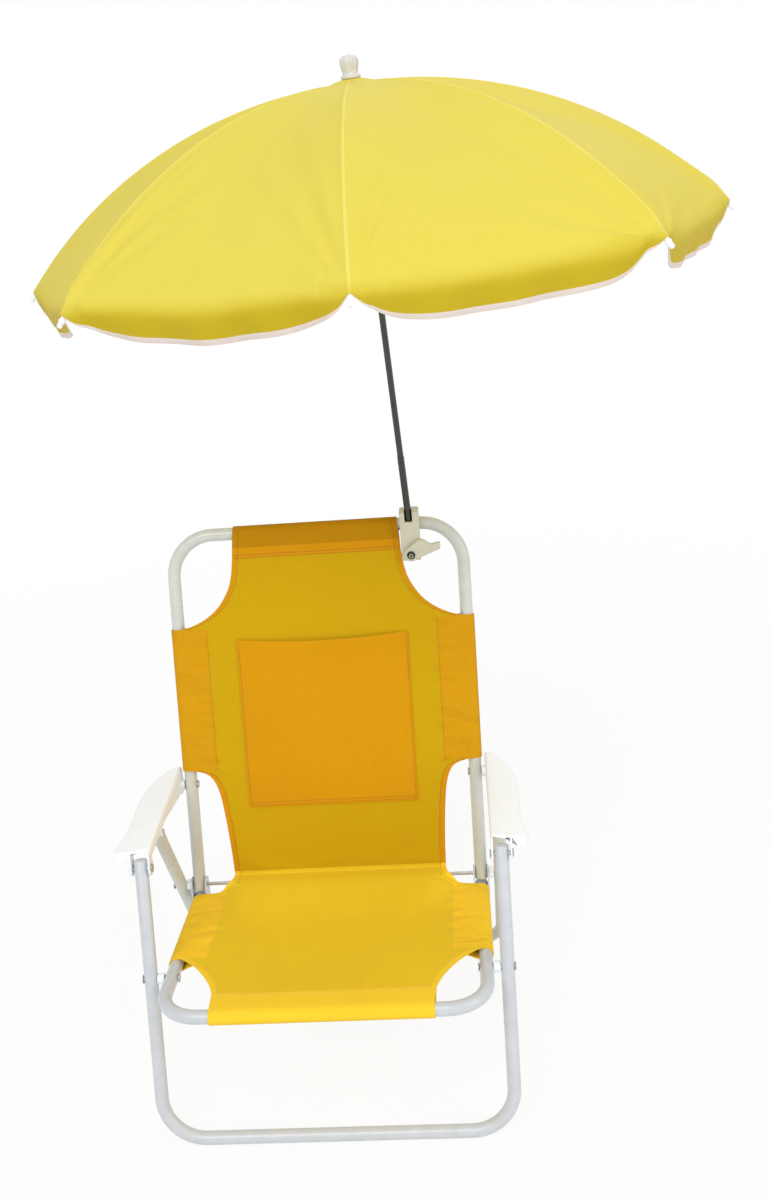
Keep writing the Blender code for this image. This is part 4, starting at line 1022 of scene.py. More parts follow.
@dataclass
class Stitching:
    """Rows of short threads sewn into the back or the seat, in the frame of its body.

    Places are pairs: across the chair, and up the back or behind the front leg's rivet.
    """

    body: Matrix
    along: Vector
    down: Vector
    above: float
    length: float = 0.0027
    pitch: float = 0.0039
    radius: float = 0.00032
    felt: tuple[float, float, float] = (0.15, 0.5, 0.85)
    proud: float = 0.35
    sides: int = 6
    squeeze: tuple[float, float, float, float] = (1.3, 0.8, 1.0, 1.0)

    def __post_init__(self) -> None:
        """Starts the mesh that takes the threads."""
        self.shape = bmesh.new()

    def over(self, spot: tuple[float, float]) -> Vector:
        """The place above a spot of the sheet that its thread is looked for from."""
        return ACROSS * spot[0] + self.along * spot[1] - self.down * self.above

    def line(self, surface: Surface, first: tuple[float, float], last: tuple[float, float]) -> None:
        """Sews a straight line of threads.

        Args:
            surface: The sheet.
            first: The line's one end.
            last: Its other end.
        """
        start, end = self.over(first), self.over(last)
        count = max(1, round((end - start).length / self.pitch))
        for index in range(count):
            (low, _), (middle, normal), (high, _) = (
                surface.hit(self.body, start.lerp(end, (index + share) / count), self.down)
                for share in self.felt
            )
            run = (high - low).normalized()
            side = normal.cross(run).normalized()
            turn = Matrix((side, run.cross(side), run)).transposed().to_4x4()
            spot = middle + normal * self.radius * self.proud
            place = Matrix.Translation(spot) @ turn @ Matrix.Diagonal(self.squeeze)
            bmesh.ops.create_cone(
                self.shape, segments=self.sides, radius1=self.radius, radius2=self.radius, depth=self.length,
                cap_ends=True, matrix=place,
            )


@dataclass
class Pocket:
    """The patch pocket sewn on the back at its sides and bottom."""

    half: float = 0.0955
    bottom: float = 0.0885
    top: float = 0.282
    sag: float = 0.0048
    cloth: float = 0.0010
    gape: float = 0.0035
    hem: float = 0.0003
    hem_from: float = 0.94
    hem_rows: tuple[float, ...] = (0.9425, 0.965, 0.985, 1.0)
    belly: float = 0.0009
    ripple: float = 0.0004

    def top_at(self, across: float) -> float:
        """The height of the sagging upper edge."""
        return self.top - self.sag * math.cos(math.pi / 2 * across / self.half)

    def build(self, surface: Surface) -> bpy.types.Object:
        """Makes the pocket.

        Args:
            surface: The sling that it is sewn on.

        Returns:
            The piece.
        """
        columns = steps(-1.0, 1.0, 26)
        rows = [*steps(0.0, self.hem_from, 26), *self.hem_rows]
        grid = ClothGrid(len(columns), len(rows))
        flat = {}
        for index, rise in enumerate(rows):
            for column, share in enumerate(columns):
                across = share * self.half
                height = self.bottom + (self.top_at(across) - self.bottom) * rise
                spot, normal = surface.hit(BACK, Vector((across, -ABOVE_BACK, height)), REARWARD)
                hem = self.hem if rise >= self.hem_rows[0] else 0.0
                hollow = max(0.0, 1 - share * share)
                slack = hollow * smooth((rise - 0.72) / 0.28) ** 2
                belly = self.belly * math.sin(math.pi * rise) * hollow
                ripple = self.ripple * uneven(across * 40, height * 30, 5.5) * math.sin(math.pi * rise)
                away = self.cloth * 0.75 + hem + self.gape * slack + belly + max(ripple, 0.0)
                grid.lay(index, column, spot + normal * away)
                flat[index, column] = (across, height - self.bottom)
        grid.mark(flat)
        grid.turn_towards(-REARWARD)
        piece = add_piece("pocket", grid.shape, (Finish.POCKET,))
        thicken(piece, self.cloth)
        return piece

    def dress(self, piece: bpy.types.Object) -> None:
        """Ties the pocket to the back and measures its cut."""
        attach(piece, "back")
        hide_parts("back_pocket")
        size = CutSize.of(piece)


@dataclass
class Seams:
    """All the visible thread of the sling and its pocket."""

    sling: Sling
    pocket: Pocket
    spacing: float = 0.0034
    edging: float = 0.0062
    top_half: float = 0.092
    front_half: float = 0.110
    patch_edge: float = 0.0018
    foot_gap: float = 0.012
    rear_gap: float = 0.030
    spare: float = 0.001

    def build_back(self, surface: Surface, patch: Surface) -> bpy.types.Object:
        """Sews the back's lines.

        Args:
            surface: The sling.
            patch: The pocket.

        Returns:
            The threads, as one piece.
        """
        sewing = Stitching(BACK, UP, REARWARD, ABOVE_BACK)
        hem = BACK_LENGTH - self.sling.top_hem
        for height in (hem, hem + self.spacing):
            sewing.line(surface, (-self.top_half, height), (self.top_half, height))
        for _, sign in SIDES:
            across = self.sling.seam * sign
            low, high = self.sling.sleeve_bottom + self.spare, self.sling.sleeve_top - self.spare
            sewing.line(surface, (across, low), (across, high))
            for first, second in zip(self.sling.back_edge, self.sling.back_edge[1:]):
                if second[0] < self.foot_gap or first[0] > hem or first[1] == second[1]:
                    continue
                ends = (((half - self.edging) * sign, height) for height, half in (first, second))
                sewing.line(surface, *ends)
        half = self.pocket.half - self.patch_edge
        low, high = self.pocket.bottom + self.patch_edge, self.pocket.top - self.spare
        for _, sign in SIDES:
            sewing.line(patch, (half * sign, low), (half * sign, high))
        for height in (low, low + self.spacing):
            sewing.line(patch, (-half, height), (half, height))
        piece = add_piece("back_stitching", sewing.shape, (Finish.THREAD,))
        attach(piece, "back")
        return piece

    def build_seat(self, surface: Surface) -> bpy.types.Object:
        """Sews the seat's lines.

        Args:
            surface: The sling.

        Returns:
            The threads, as one piece.
        """
        sewing = Stitching(SEAT, REARWARD, -UP, ABOVE_SEAT)
        for rearward in (self.sling.front_hem, self.sling.front_hem - self.spacing):
            along = rearward - SEAT_FRONT
            sewing.line(surface, (-self.front_half, along), (self.front_half, along))
        front = self.sling.seat_sleeve_front - SEAT_FRONT + self.spare
        rear = HINGE_ALONG - self.rear_gap
        for _, sign in SIDES:
            across = self.sling.seam * sign
            sewing.line(surface, (across, front), (across, rear))
            for first, second in zip(self.sling.seat_edge, self.sling.seat_edge[1:]):
                if first[0] < self.sling.front_hem or second[0] > self.sling.seat_sleeve_front:
                    continue
                ends = (((half - self.edging) * sign, rearward - SEAT_FRONT) for rearward, half in (first, second))
                sewing.line(surface, *ends)
        # The seat's threads take the paler copy of the thread, painted light.
        piece = add_piece("seat_stitching", sewing.shape, (Finish.SEAT_THREAD,))
        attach(piece, "seat")
        return piece


class Tube:
    """A smooth round tube, grown from a ring along straight runs and round bends."""

    def __init__(self, start: Vector, direction: Vector, side: Vector) -> None:
        """Starts the tube with a ring.

        Args:
            start: The first ring's centre.
            direction: Where the tube goes.
            side: The axis that it bends about.
        """
        self.shape = bmesh.new()
        self.centre, self.direction, self.side = start.copy(), direction.normalized(), side.normalized()
        bmesh.ops.create_circle(self.shape, segments=TUBE_SIDES, radius=TUBE)
        turn = Matrix((self.side, self.direction.cross(self.side), self.direction)).transposed().to_4x4()
        bmesh.ops.transform(self.shape, matrix=Matrix.Translation(start) @ turn, verts=self.shape.verts)
        self.edges = list(self.shape.edges)
        self.close(-self.direction)

    def close(self, outward: Vector) -> None:
        """Closes the tube's end with a shallow rounded cap."""
        verts = list(dict.fromkeys(vert for edge in self.edges for vert in edge.verts))
        centre = sum((vert.co for vert in verts), Vector()) / len(verts)
        ends = self.edges
        for share, rise in TUBE_CAP:
            grown = bmesh.ops.extrude_edge_only(self.shape, edges=ends)["geom"]
            fresh = new_points(grown)
            ends = [edge for edge in new_edges(grown) if set(fresh).issuperset(edge.verts)]
            radius = max((vert.co - centre).cross(outward).length for vert in verts)
            for vert in fresh:
                arm = vert.co - centre
                arm -= outward * arm.dot(outward)
                vert.co = centre + arm.normalized() * radius * share + outward * rise
        bmesh.ops.remove_doubles(self.shape, verts=self.shape.verts, dist=MERGE)

    def run(self, length: float) -> Tube:
        """Grows the tube straight on."""
        grown = bmesh.ops.extrude_edge_only(self.shape, edges=self.edges)["geom"]
        verts = new_points(grown)
        bmesh.ops.translate(self.shape, verts=verts, vec=self.direction * length)
        self.edges = [edge for edge in new_edges(grown) if set(verts).issuperset(edge.verts)]
        self.centre += self.direction * length
        return self

    def bend(self, radius: float, angle: float) -> Tube:
        """Bends the tube about its side axis.

        Args:
            radius: The bend's radius at the tube's axis.
            angle: How far it bends, by the right-hand rule.

        Returns:
            The tube itself.
        """
        centre = self.centre + self.side.cross(self.direction) * math.copysign(radius, angle)
        verts = list(dict.fromkeys(vert for edge in self.edges for vert in edge.verts))
        last = bmesh.ops.spin(
            self.shape, geom=verts + self.edges, cent=centre, axis=self.side, angle=angle, steps=BEND_STEPS
        )["geom_last"]
        self.edges = new_edges(last)
        turn = Matrix.Rotation(angle, 3, self.side)
        self.centre = centre + turn @ (self.centre - centre)
        self.direction = turn @ self.direction
        return self


@dataclass(frozen=True)
class BentTube:
    """One U of white tube of the chair's frame."""

    name: str
    node: str
    body: str
    place: Matrix
    half: float
    start: tuple[float, float, float]
    crossbar: tuple[float, float, float]
    bend: float
    finish: Finish

    def build(self) -> bpy.types.Object:
        """Makes the tube in the place of its CAD node.

        Returns:
            The piece.
        """
        start, crossbar = Vector(self.start), Vector(self.crossbar)
        along = (crossbar - start).normalized()
        arm = (crossbar - start).length - self.bend
        tube = Tube(start - ACROSS * self.half, along, along.cross(ACROSS))
        tube.run(arm).bend(self.bend, math.pi / 2)
        tube.run(2 * (self.half - self.bend)).bend(self.bend, math.pi / 2).run(arm)
        tube.close(tube.direction)
        shape = tube.shape
        bmesh.ops.transform(shape, matrix=self.place, verts=shape.verts)
        for vert in shape.verts:
            vert.co.z = max(vert.co.z, 0.0)
        bmesh.ops.remove_doubles(shape, verts=shape.verts, dist=MERGE)
        bmesh.ops.recalc_face_normals(shape, faces=shape.faces)
        piece = add_piece(self.name, shape, (self.finish,))
        piece.data.set_sharp_from_angle(angle=math.radians(TUBE_CRISP_TURN))
        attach(piece, self.body)
        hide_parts(self.node)
        return piece


@dataclass
class ChairFrame:
    """The four bent tubes of the chair, on the frames of their bodies."""

    link: float = 0.118
    end: float = 0.008
    leg_to_seat: float = 0.1755
    rear_leg_top: float = 0.125
    seat_end: float = 0.006
    back_end: float = 0.0055
    leg_bend: float = 0.045
    seat_bend: float = 0.040
    back_bend: float = 0.046
    bar_height: float = TUBE * math.cos(math.pi / 12)

    def tubes(self) -> tuple[BentTube, ...]:
        """The tubes with their sizes."""
        reach = (joint_point("back_fold").z - self.bar_height) / math.cos(REAR_LEAN)
        return (
            BentTube(
                "front_leg_tube", "front_leg_frame", "front_leg", FRONT_LEG, LEG,
                (0, 0, self.link + self.end), (0, 0, -self.leg_to_seat), self.leg_bend, Finish.FRAME,
            ),
            # The rear leg and back tube take the warmer copy of the coat, a painted bounce light from the yellow
            # cloth.
            BentTube(
                "rear_leg_tube", "rear_leg_frame", "rear_leg", REAR_LEG, LEG,
                (0, 0, self.rear_leg_top + self.end), (0, 0, -reach), self.leg_bend, Finish.BACK_TUBE,
            ),
            BentTube(
                "seat_tube", "seat_frame", "seat", SEAT, RAIL,
                (0, HINGE_ALONG + self.seat_end, 0), (0, -SEAT_FRONT, 0), self.seat_bend, Finish.FRAME,
            ),
            BentTube(
                "back_tube", "back_frame", "back", BACK, RAIL,
                (0, 0, -self.back_end), (0, 0, BACK_LENGTH), self.back_bend, Finish.BACK_TUBE,
            ),
        )

    def build(self) -> list[bpy.types.Object]:
        """Makes all four tubes."""
        return [tube.build() for tube in self.tubes()]


@dataclass(frozen=True)
class Fitting:
    """A rigid CAD node whose copy is merged and given soft edges."""

    node: str
    body: str
    finish: Finish
    solid: Solid
    edge: float = 0.0004
    segments: int = 2
    crown: float = 0.0
    crown_steps: int = 5
    flat_turn: float = 1.5

    def build(self) -> bpy.types.Object:
        """Makes the finished copy.

        Returns:
            The piece, in the place of its node.
        """
        source = frame["nodes"][self.node]
        shape = bmesh.new()
        shape.from_mesh(source.data)
        bmesh.ops.transform(shape, matrix=source.matrix_world, verts=shape.verts)
        bmesh.ops.remove_doubles(shape, verts=shape.verts, dist=2 * MERGE)
        bmesh.ops.dissolve_limit(
            shape, angle_limit=math.radians(self.flat_turn), use_dissolve_boundaries=False, verts=shape.verts,
            edges=shape.edges,
        )
        if self.crown:
            shape.faces.ensure_lookup_table()
            top = max(shape.faces, key=lambda face: face.calc_area())
            bmesh.ops.bevel(
                shape, geom=list(top.edges), offset=self.crown, segments=self.crown_steps, profile=0.5, affect="EDGES",
                material=-1, clamp_overlap=False,
            )
        piece = add_piece(self.node + "_finished", shape, (self.finish,))
        soften(piece, self.edge, self.segments, 40)
        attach(piece, self.body)
        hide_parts(self.node)
        return piece


def fittings() -> list[Fitting]:
    """The rigid nodes that are finished as soft-edged copies."""
    made = []
    for side, _ in SIDES:
        made += [
            Fitting(side + "_armrest", side + "_armrest", Finish.PLASTIC, Solid.PLASTIC, 0.0005, 2, 0.0032),
            Fitting(side + "_hinge_bracket", "seat", Finish.FRAME, Solid.PAINT, 0.0003),
            Fitting(side + "_leg_spacer", "seat", Finish.PLASTIC, Solid.PLASTIC, 0.0005),
            Fitting(side + "_leg_rivet", "seat", Finish.RIVET, Solid.RIVET, 0.0004),
            Fitting(side + "_arm_rivet", "front_leg", Finish.RIVET, Solid.RIVET, 0.0004),
            Fitting(side + "_back_rivet", "back", Finish.RIVET, Solid.RIVET, 0.0004),
        ]
    made += [
        Fitting("clamp_front_jaw", "clamp", Finish.IVORY, Solid.PLASTIC, 0.0007, 3),
        Fitting("clamp_rear_jaw", "clamp_jaw", Finish.IVORY, Solid.PLASTIC, 0.0007, 3),
        Fitting("clamp_bolt", "clamp", Finish.SCREW, Solid.RIVET, 0.0004),
    ]
    return made


@dataclass(frozen=True)
class ClampLever:
    """The clamp's lever: a boss on the bolt, a deep root and a hooked tip."""

    boss: float = 0.0078
    boss_turns: range = range(130, 311, 15)
    edge: float = 0.0011
    edge_steps: int = 4
    corner: float = 50
    rise: tuple[tuple[float, float], ...] = (
        (0.0310, 0.0046), (0.0322, 0.0062), (0.0322, 0.0112), (0.0312, 0.0124), (0.0290, 0.0122), (0.0268, 0.0116),
        (0.0245, 0.0108), (0.0225, 0.0106), (0.0205, 0.0112), (0.0185, 0.0126), (0.0160, 0.0146), (0.0135, 0.0160),
        (0.0108, 0.0166), (0.0080, 0.0160), (0.0055, 0.0140),
    )

    def build(self) -> bpy.types.Object:
        """Makes the lever in the place of its CAD node.

        Returns:
            The piece.
        """
        depths = [spot.y for spot in node_points("clamp_lever", CLAMP_BOLT)]
        shape = bmesh.new()
        round_boss = [math.radians(angle) for angle in self.boss_turns]
        outline = [(self.boss * math.cos(angle), self.boss * math.sin(angle)) for angle in round_boss]
        verts = [shape.verts.new((across, max(depths), up)) for across, up in (*outline, *self.rise)]
        plate = shape.faces.new(verts)
        grown = bmesh.ops.extrude_face_region(shape, geom=[plate])["geom"]
        bmesh.ops.translate(shape, verts=new_points(grown), vec=(0, min(depths) - max(depths), 0))
        bmesh.ops.recalc_face_normals(shape, faces=shape.faces)
        bmesh.ops.transform(shape, matrix=CLAMP_BOLT, verts=shape.verts)
        piece = add_piece("clamp_lever_finished", shape, (Finish.IVORY,))
        soften(piece, self.edge, self.edge_steps, self.corner)
        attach(piece, "clamp_lever")
        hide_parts("clamp_lever")
        return piece


def node_points(name: str, place: Matrix) -> list[Vector]:
    """A CAD node's points in another frame."""
    node = frame["nodes"][name]
    turn = place.inverted() @ node.matrix_world
    return [turn @ vert.co for vert in node.data.vertices]


# The pale ring's inner and outer radius, and the face's outline as pairs of radius and height
SCREW_RING = (0.0013, 0.0024)
SCREW_OUTLINE = (
    (0.0, 0.0002), (0.0009, 0.0002), (0.0012, 0.0005), (0.0013, 0.0008), (0.0023, 0.0008), (0.0026, 0.0004),
    (0.0030, 0.0003), (0.0034, -0.0004),
)


def screw_face() -> bpy.types.Object:
    """Makes the turned face of the clamp's screw: a dark pan with a pale ring and a dark middle."""
    front = min(spot.y for spot in node_points("clamp_bolt", CLAMP_BOLT))
    shape = bmesh.new()
    turned_profile(shape, SCREW_OUTLINE, 32)
    for face in shape.faces:
        spot = face.calc_center_median()
        face.material_index = int(SCREW_RING[0] < math.hypot(spot.x, spot.y) < SCREW_RING[1])
    turn = Matrix.Translation((0, front, 0)) @ Matrix.Rotation(math.pi / 2, 4, "X")
    bmesh.ops.transform(shape, matrix=CLAMP_BOLT @ turn, verts=shape.verts)
    piece = add_piece("clamp_screw_face", shape, (Finish.SCREW, Finish.RIVET))
    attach(piece, "clamp")
    return piece


GORE_FINISHES = (Finish.CANOPY, Finish.TAPE, Finish.GORE_SEAM)


@dataclass
class Canopy:
    """Eight cloth gores on eight ribs, each dressed as one wedge centred on its rib."""

    ribs: int = 8
    hub: tuple[float, float, float] = (0.0082, 0.0, 0.4455)
    rim_radius: float = 0.350
    rim_fall: float = 0.1515
    bow: float = 0.040
    lift: float = 0.0026
    cloth: float = 0.0006
    eye_rows: tuple[float, float, float] = (0.0042, 0.0085, 0.0135)
    eye_height: float = 0.4519
    top_rows: tuple[float, ...] = (0.035, 0.06, 0.09, 0.12)
    rim_rows: tuple[float, ...] = (0.95, 0.97, 0.985, 1.0)
    dip: float = 0.010
    roll: float = 0.006
    drop: float = 0.027
    inward: float = 0.010
    closed_share: float = 0.2
    fan: float = 0.013
    fan_reach: float = 0.1
    fan_start: float = 0.02
    rib_clear: float = 0.014
    slack_start: float = 0.03
    slack: float = 0.0022
    fine_slack: float = 0.0005
    drawn: float = 0.0016
    gathered: float = 0.0011
    ridge: float = 0.0008
    wave: float = 0.0022
    tape: float = 0.0005
    tape_from: float = 0.85
    hang_rows: tuple[float, ...] = (0.22, 0.45, 0.68, 0.84, 0.86, 1.0)
    plain_rows: int = 3
    plain_top_rows: int = 3
    cut_ease: float = 1.02
    seam_columns: tuple[float, float] = (0.0011, 0.0028)
    tip_outline: tuple[tuple[float, float], ...] = (
        (0.0, -0.0035), (0.0017, -0.0035), (0.0021, -0.0030), (0.0021, 0.0018), (0.0028, 0.0024), (0.0030, 0.0036),
        (0.0026, 0.0048), (0.0022, 0.0060), (0.0024, 0.0078), (0.0021, 0.0092), (0.0012, 0.0100), (0.0, 0.0102),
    )

    def __post_init__(self) -> None:
        """Works out the rib's arc."""
        chord = Vector((self.rim_radius - self.hub[0], 0, -self.rim_fall))
        self.arc = (chord.length**2 / 4 + self.bow**2) / (2 * self.bow)
        self.half_arc = math.asin(chord.length / 2 / self.arc)
        self.start = math.atan2(-chord.z, chord.x) - self.half_arc

    def rib_point(self, share: float, lift: float) -> Vector:
        """A point of the rib's arc from the hub at 0 to the tip at 1, lifted off its outer side."""
        turn = self.start + 2 * self.half_arc * share
        reach = self.arc + lift
        outward = reach * math.sin(turn) - self.arc * math.sin(self.start)
        upward = reach * math.cos(turn) - self.arc * math.cos(self.start)
        return Vector(self.hub) + Vector((outward, 0, upward))

    def azimuth(self, index: int) -> float:
        """The direction of a rib round the pole."""
        return -math.pi / 2 + math.tau * index / self.ribs

    def profile(self) -> list[tuple[Vector, float]]:
        """The seam's line from the eye to the rim, with each point's share of the rib."""
        line = [(Vector((radius, 0, self.eye_height)), 0.0) for radius in self.eye_rows]
        rows = (*self.top_rows, *steps(0.15, 0.93, 28), *self.rim_rows)
        return line + [(self.rib_point(share, self.lift), share) for share in rows]

    def fold(self, share: float, off: float, spot: Vector, inner: float) -> float:
        """The small tension folds that fan out from a rib's tip, and the cloth's slack.

        Args:
            share: The place along the rib.
            off: The distance from the rib's line.
            spot: The place in the umbrella's frame, which neighbouring gores share.
            inner: How far it is from the panel's middle, from 0 to 1 at the seam.

        Returns:
            The height of the fold.
        """
        back = max((1 - share) * 2 * self.half_arc * self.arc, 0.0)
        away = math.hypot(back, off)
        turn = math.atan2(abs(off), back + 0.004)
        fan = uneven(turn * 5.5, spot.x * 3, spot.y * 3) * math.exp(-away / self.fan_reach)
        fan *= smooth(away / self.fan_start)
        if fan < 0:
            fan *= smooth(abs(off) / self.rib_clear)
        slack = uneven(spot.x * 8, spot.y * 8, 2.2) * self.slack * math.sin(math.pi * share)
        slack += uneven(spot.x * 26, spot.y * 26, 4.2) * self.fine_slack * smooth(share * 3)
        course = math.atan2(spot.y, spot.x)
        drawn = uneven(math.cos(course) * 7, math.sin(course) * 7, share * 1.3) * self.drawn
        slack += drawn * smooth(share / 0.25) * smooth((1 - share) / 0.3)
        beside = math.exp(-(((off - 0.016 + 0.006 * share) / 0.0026) ** 2)) * smooth(share / 0.2)
        beside -= 0.7 * math.exp(-(((off - 0.024 + 0.010 * share) / 0.0032) ** 2)) * smooth(share / 0.3)
        beside *= smooth((1 - share) / 0.08) * (0.6 + uneven(spot.x * 9, spot.y * 9, 5.0))
        slack *= smooth(abs(off) / self.slack_start)
        return self.fan * fan * smooth(inner / 0.4) + slack + self.gathered * beside

    def column_angle(self, share: float, steps_off: int, radius: float) -> float:
        """Where a column lies, as a share of half a gore's angle.

        Args:
            share: The column's even share.
            steps_off: How many columns it is from the seam.
            radius: The distance from the pole.

        Returns:
            The share, with the two columns beside the seam at a fixed distance from it.
        """
        if not 0 < steps_off < 3:
            return share
        near = self.seam_columns[steps_off - 1] / radius / (math.pi / self.ribs)
        return math.copysign(min(abs(share), near), share)

    def columns(self) -> list[float]:
        """A wedge's columns, as shares of its half angle, close together at the seam."""
        spread = [share**1.15 for share in steps(0.1, 1.0, 24)]
        return [-share for share in reversed(spread)] + [-0.06, -0.03, 0.0, 0.03, 0.06] + spread

    def panel_spot(self, index: int, seam: Vector, share: float, angle: float) -> tuple[Vector, float]:
        """Where the cloth lies beside a point of the seam.

        Args:
            index: The rib's number, from 0.
            seam: The seam's point, in the rib's own frame.
            share: That point's share of the rib.
            angle: How far round the pole the spot is from the seam.

        Returns:
            The spot in the rib's frame, and its distance from the pole as a share of the seam's.
        """
        half = math.pi / self.ribs
        straight = math.cos(half) / math.cos(half - abs(angle)) if share else 1.0
        straight = 1 + (straight - 1) * smooth(share / 0.06)
        off = seam.x * angle
        bulge = math.sin(math.pi * (abs(angle) / (2 * half)))
        lower = self.dip * bulge * math.sin(math.pi * share) ** 2
        lower += self.roll * bulge * smooth((share - 0.86) / 0.14) ** 2
        ridge = self.ridge * math.exp(-((off / 0.0020) ** 2)) * smooth(share / 0.1)
        flat_spot = Matrix.Rotation(self.azimuth(index) + angle, 3, "Z") @ Vector((seam.x * straight, 0, 0))
        rise = self.fold(share, off, flat_spot, 1 - abs(angle) / half) + ridge - lower
        return Matrix.Rotation(angle, 3, "Z") @ Vector((seam.x * straight, 0, seam.z + rise)), straight

    def valance_spot(self, rim: Vector, across: float, share: float) -> tuple[Vector, float]:
        """Where the valance hangs below a spot of the rim.

        Args:
            rim: The spot, in the rib's frame.
            across: How far it is to the next rib, from 0 at this one to 1.
            share: How far down the valance the place is, from 0 to 1.

        Returns:
            The place in the rib's frame, and the share of the full drop that hangs there.
        """
        hang = max(1 - abs(2 * across - 1) ** 6, 0.05)
        wave = self.wave * math.cos(8 * math.pi * across) * share * hang
        outward = Vector((rim.x, rim.y, 0)).normalized()
        tape = self.tape if share > self.tape_from else 0.0
        tuck = self.inward * hang * share**1.4 - wave - tape
        return rim - outward * tuck - UP * self.drop * hang * share, hang

    def gore_grid(self, index: int) -> ClothGrid:
        """Lays the wedge of cloth on one rib, from mid-panel to mid-panel, with its valance.

        Args:
            index: The rib's number, from 0.

        Returns:
            The grid, with its flat cut and its finishes marked.
        """
        half = math.pi / self.ribs
        line, shares = self.profile(), self.columns()
        middle = len(shares) // 2
        grid = ClothGrid(len(shares), len(line) + len(self.hang_rows))
        turn = UMBRELLA @ Matrix.Rotation(self.azimuth(index), 4, "Z")
        flat, rim, along = {}, {}, 0.0
        for row, (seam, share) in enumerate(line):
            if row:
                along += (seam - line[row - 1][0]).length
            for column, spot_share in enumerate(shares):
                angle = self.column_angle(spot_share, abs(column - middle), seam.x) * half
                spot, straight = self.panel_spot(index, seam, share, angle)
                grid.lay(row, column, turn @ spot)
                flat[row, column] = (seam.x * straight * math.sin(angle) * self.cut_ease, along)
                rim[column] = (spot, abs(angle) / (2 * half))
        for row, share in enumerate(self.hang_rows, len(line)):
            for column, (spot, across) in rim.items():
                place, hang = self.valance_spot(spot, across, share)
                grid.lay(row, column, turn @ place)
                flat[row, column] = (flat[len(line) - 1, column][0], along + self.drop * hang * share)
        grid.mark(flat)
        for face in grid.shape.faces:
            row, column = grid.face_spot(face)
            # The two columns beside the seam take the lighter seam finish, a painted highlight on its ridge.
            sewn = column in (middle - 1, middle) and row > self.plain_top_rows
            finish = Finish.GORE_SEAM if sewn else Finish.CANOPY
            face.material_index = GORE_FINISHES.index(Finish.TAPE if row >= len(line) + self.plain_rows else finish)
        grid.turn_towards(UP)
        return grid

    def build_gore(self, index: int) -> bpy.types.Object:
        """Makes one gore, which turns with its rib."""
        piece = add_piece(f"canopy_gore_{index + 1}", self.gore_grid(index).shape, GORE_FINISHES)
        thicken(piece, self.cloth)
        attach(piece, f"rib_{index + 1}")
        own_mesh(piece)
        size = CutSize.of(piece)
        return piece

    def build_tip(self, index: int) -> bpy.types.Object:
        """Makes the white moulded cap on a rib's tip."""
        tip, before = self.rib_point(1.0, 0.0), self.rib_point(0.99, 0.0)
        run = (tip - before).normalized()
        side = Vector((0, 1, 0))
        shape = bmesh.new()
        turn = Matrix((side.cross(run), side, run)).transposed().to_4x4()
        turned_profile(shape, self.tip_outline, 20)
        place = UMBRELLA @ Matrix.Rotation(self.azimuth(index), 4, "Z") @ Matrix.Translation(tip) @ turn
        bmesh.ops.transform(shape, matrix=place, verts=shape.verts)
        bmesh.ops.recalc_face_normals(shape, faces=shape.faces)
        piece = add_piece(f"tip_cap_{index + 1}", shape, (Finish.PLASTIC,))
        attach(piece, f"rib_{index + 1}")
        return piece

    def build(self) -> list[bpy.types.Object]:
        """Makes all the gores and tip caps."""
        pieces = []
        for index in range(self.ribs):
            pieces += [self.build_gore(index), self.build_tip(index)]
        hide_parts("canopy")
        return pieces


def turned_profile(shape: bmesh.types.BMesh, outline: tuple[tuple[float, float], ...], count: int) -> None:
    """Spins an outline of radius and height about the Z axis.

    Args:
        shape: The mesh that takes it.
        outline: Pairs of radius and height, from one end to the other.
        count: How many sides the turned shape has.
    """
    verts = [shape.verts.new((radius, 0, height)) for radius, height in outline]
    edges = [shape.edges.new(pair) for pair in zip(verts, verts[1:])]
    bmesh.ops.spin(
        shape, geom=verts + edges, cent=(0, 0, 0), axis=(0, 0, 1), angle=math.tau, steps=count, use_merge=True
    )
    bmesh.ops.remove_doubles(shape, verts=shape.verts, dist=MERGE / 2)
    bmesh.ops.recalc_face_normals(shape, faces=shape.faces)


@dataclass
class Finial:
    """The white fluted knob on the umbrella's top."""

    base: float = 0.4525
    flutes: int = 10
    fluted_from: float = 0.0042
    depth: float = 0.09
    outline: tuple[tuple[float, float], ...] = (
        (0.0036, 0.0), (0.0088, 0.0), (0.0094, 0.0006), (0.0094, 0.0028), (0.0088, 0.0036), (0.0076, 0.0040),
        (0.0074, 0.0047), (0.0077, 0.0068), (0.0083, 0.0096), (0.0089, 0.0125), (0.0091, 0.0146), (0.0089, 0.0164),
        (0.0083, 0.0180), (0.0073, 0.0193), (0.0058, 0.0204), (0.0038, 0.0211), (0.0018, 0.0215), (0.0, 0.0216),
    )

    def build(self) -> bpy.types.Object:
        """Makes the knob.

        Returns:
            The piece, in the place of the CAD finial.
        """
        shape = bmesh.new()
        turned_profile(shape, self.outline, 80)
        for vert in shape.verts:
            radius = math.hypot(vert.co.x, vert.co.y)
            wave = 0.5 - 0.5 * math.cos(self.flutes * math.atan2(vert.co.y, vert.co.x))
            fluted = smooth((vert.co.z - self.fluted_from) / 0.003) * smooth(radius / 0.006)
            share = 1 - self.depth * wave**2 * fluted
            vert.co.x *= share
            vert.co.y *= share
        bmesh.ops.transform(shape, matrix=UMBRELLA @ Matrix.Translation((0, 0, self.base)), verts=shape.verts)
        piece = add_piece("fluted_finial", shape, (Finish.KNOB,))
        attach(piece, "umbrella")
        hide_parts("finial")
        return piece


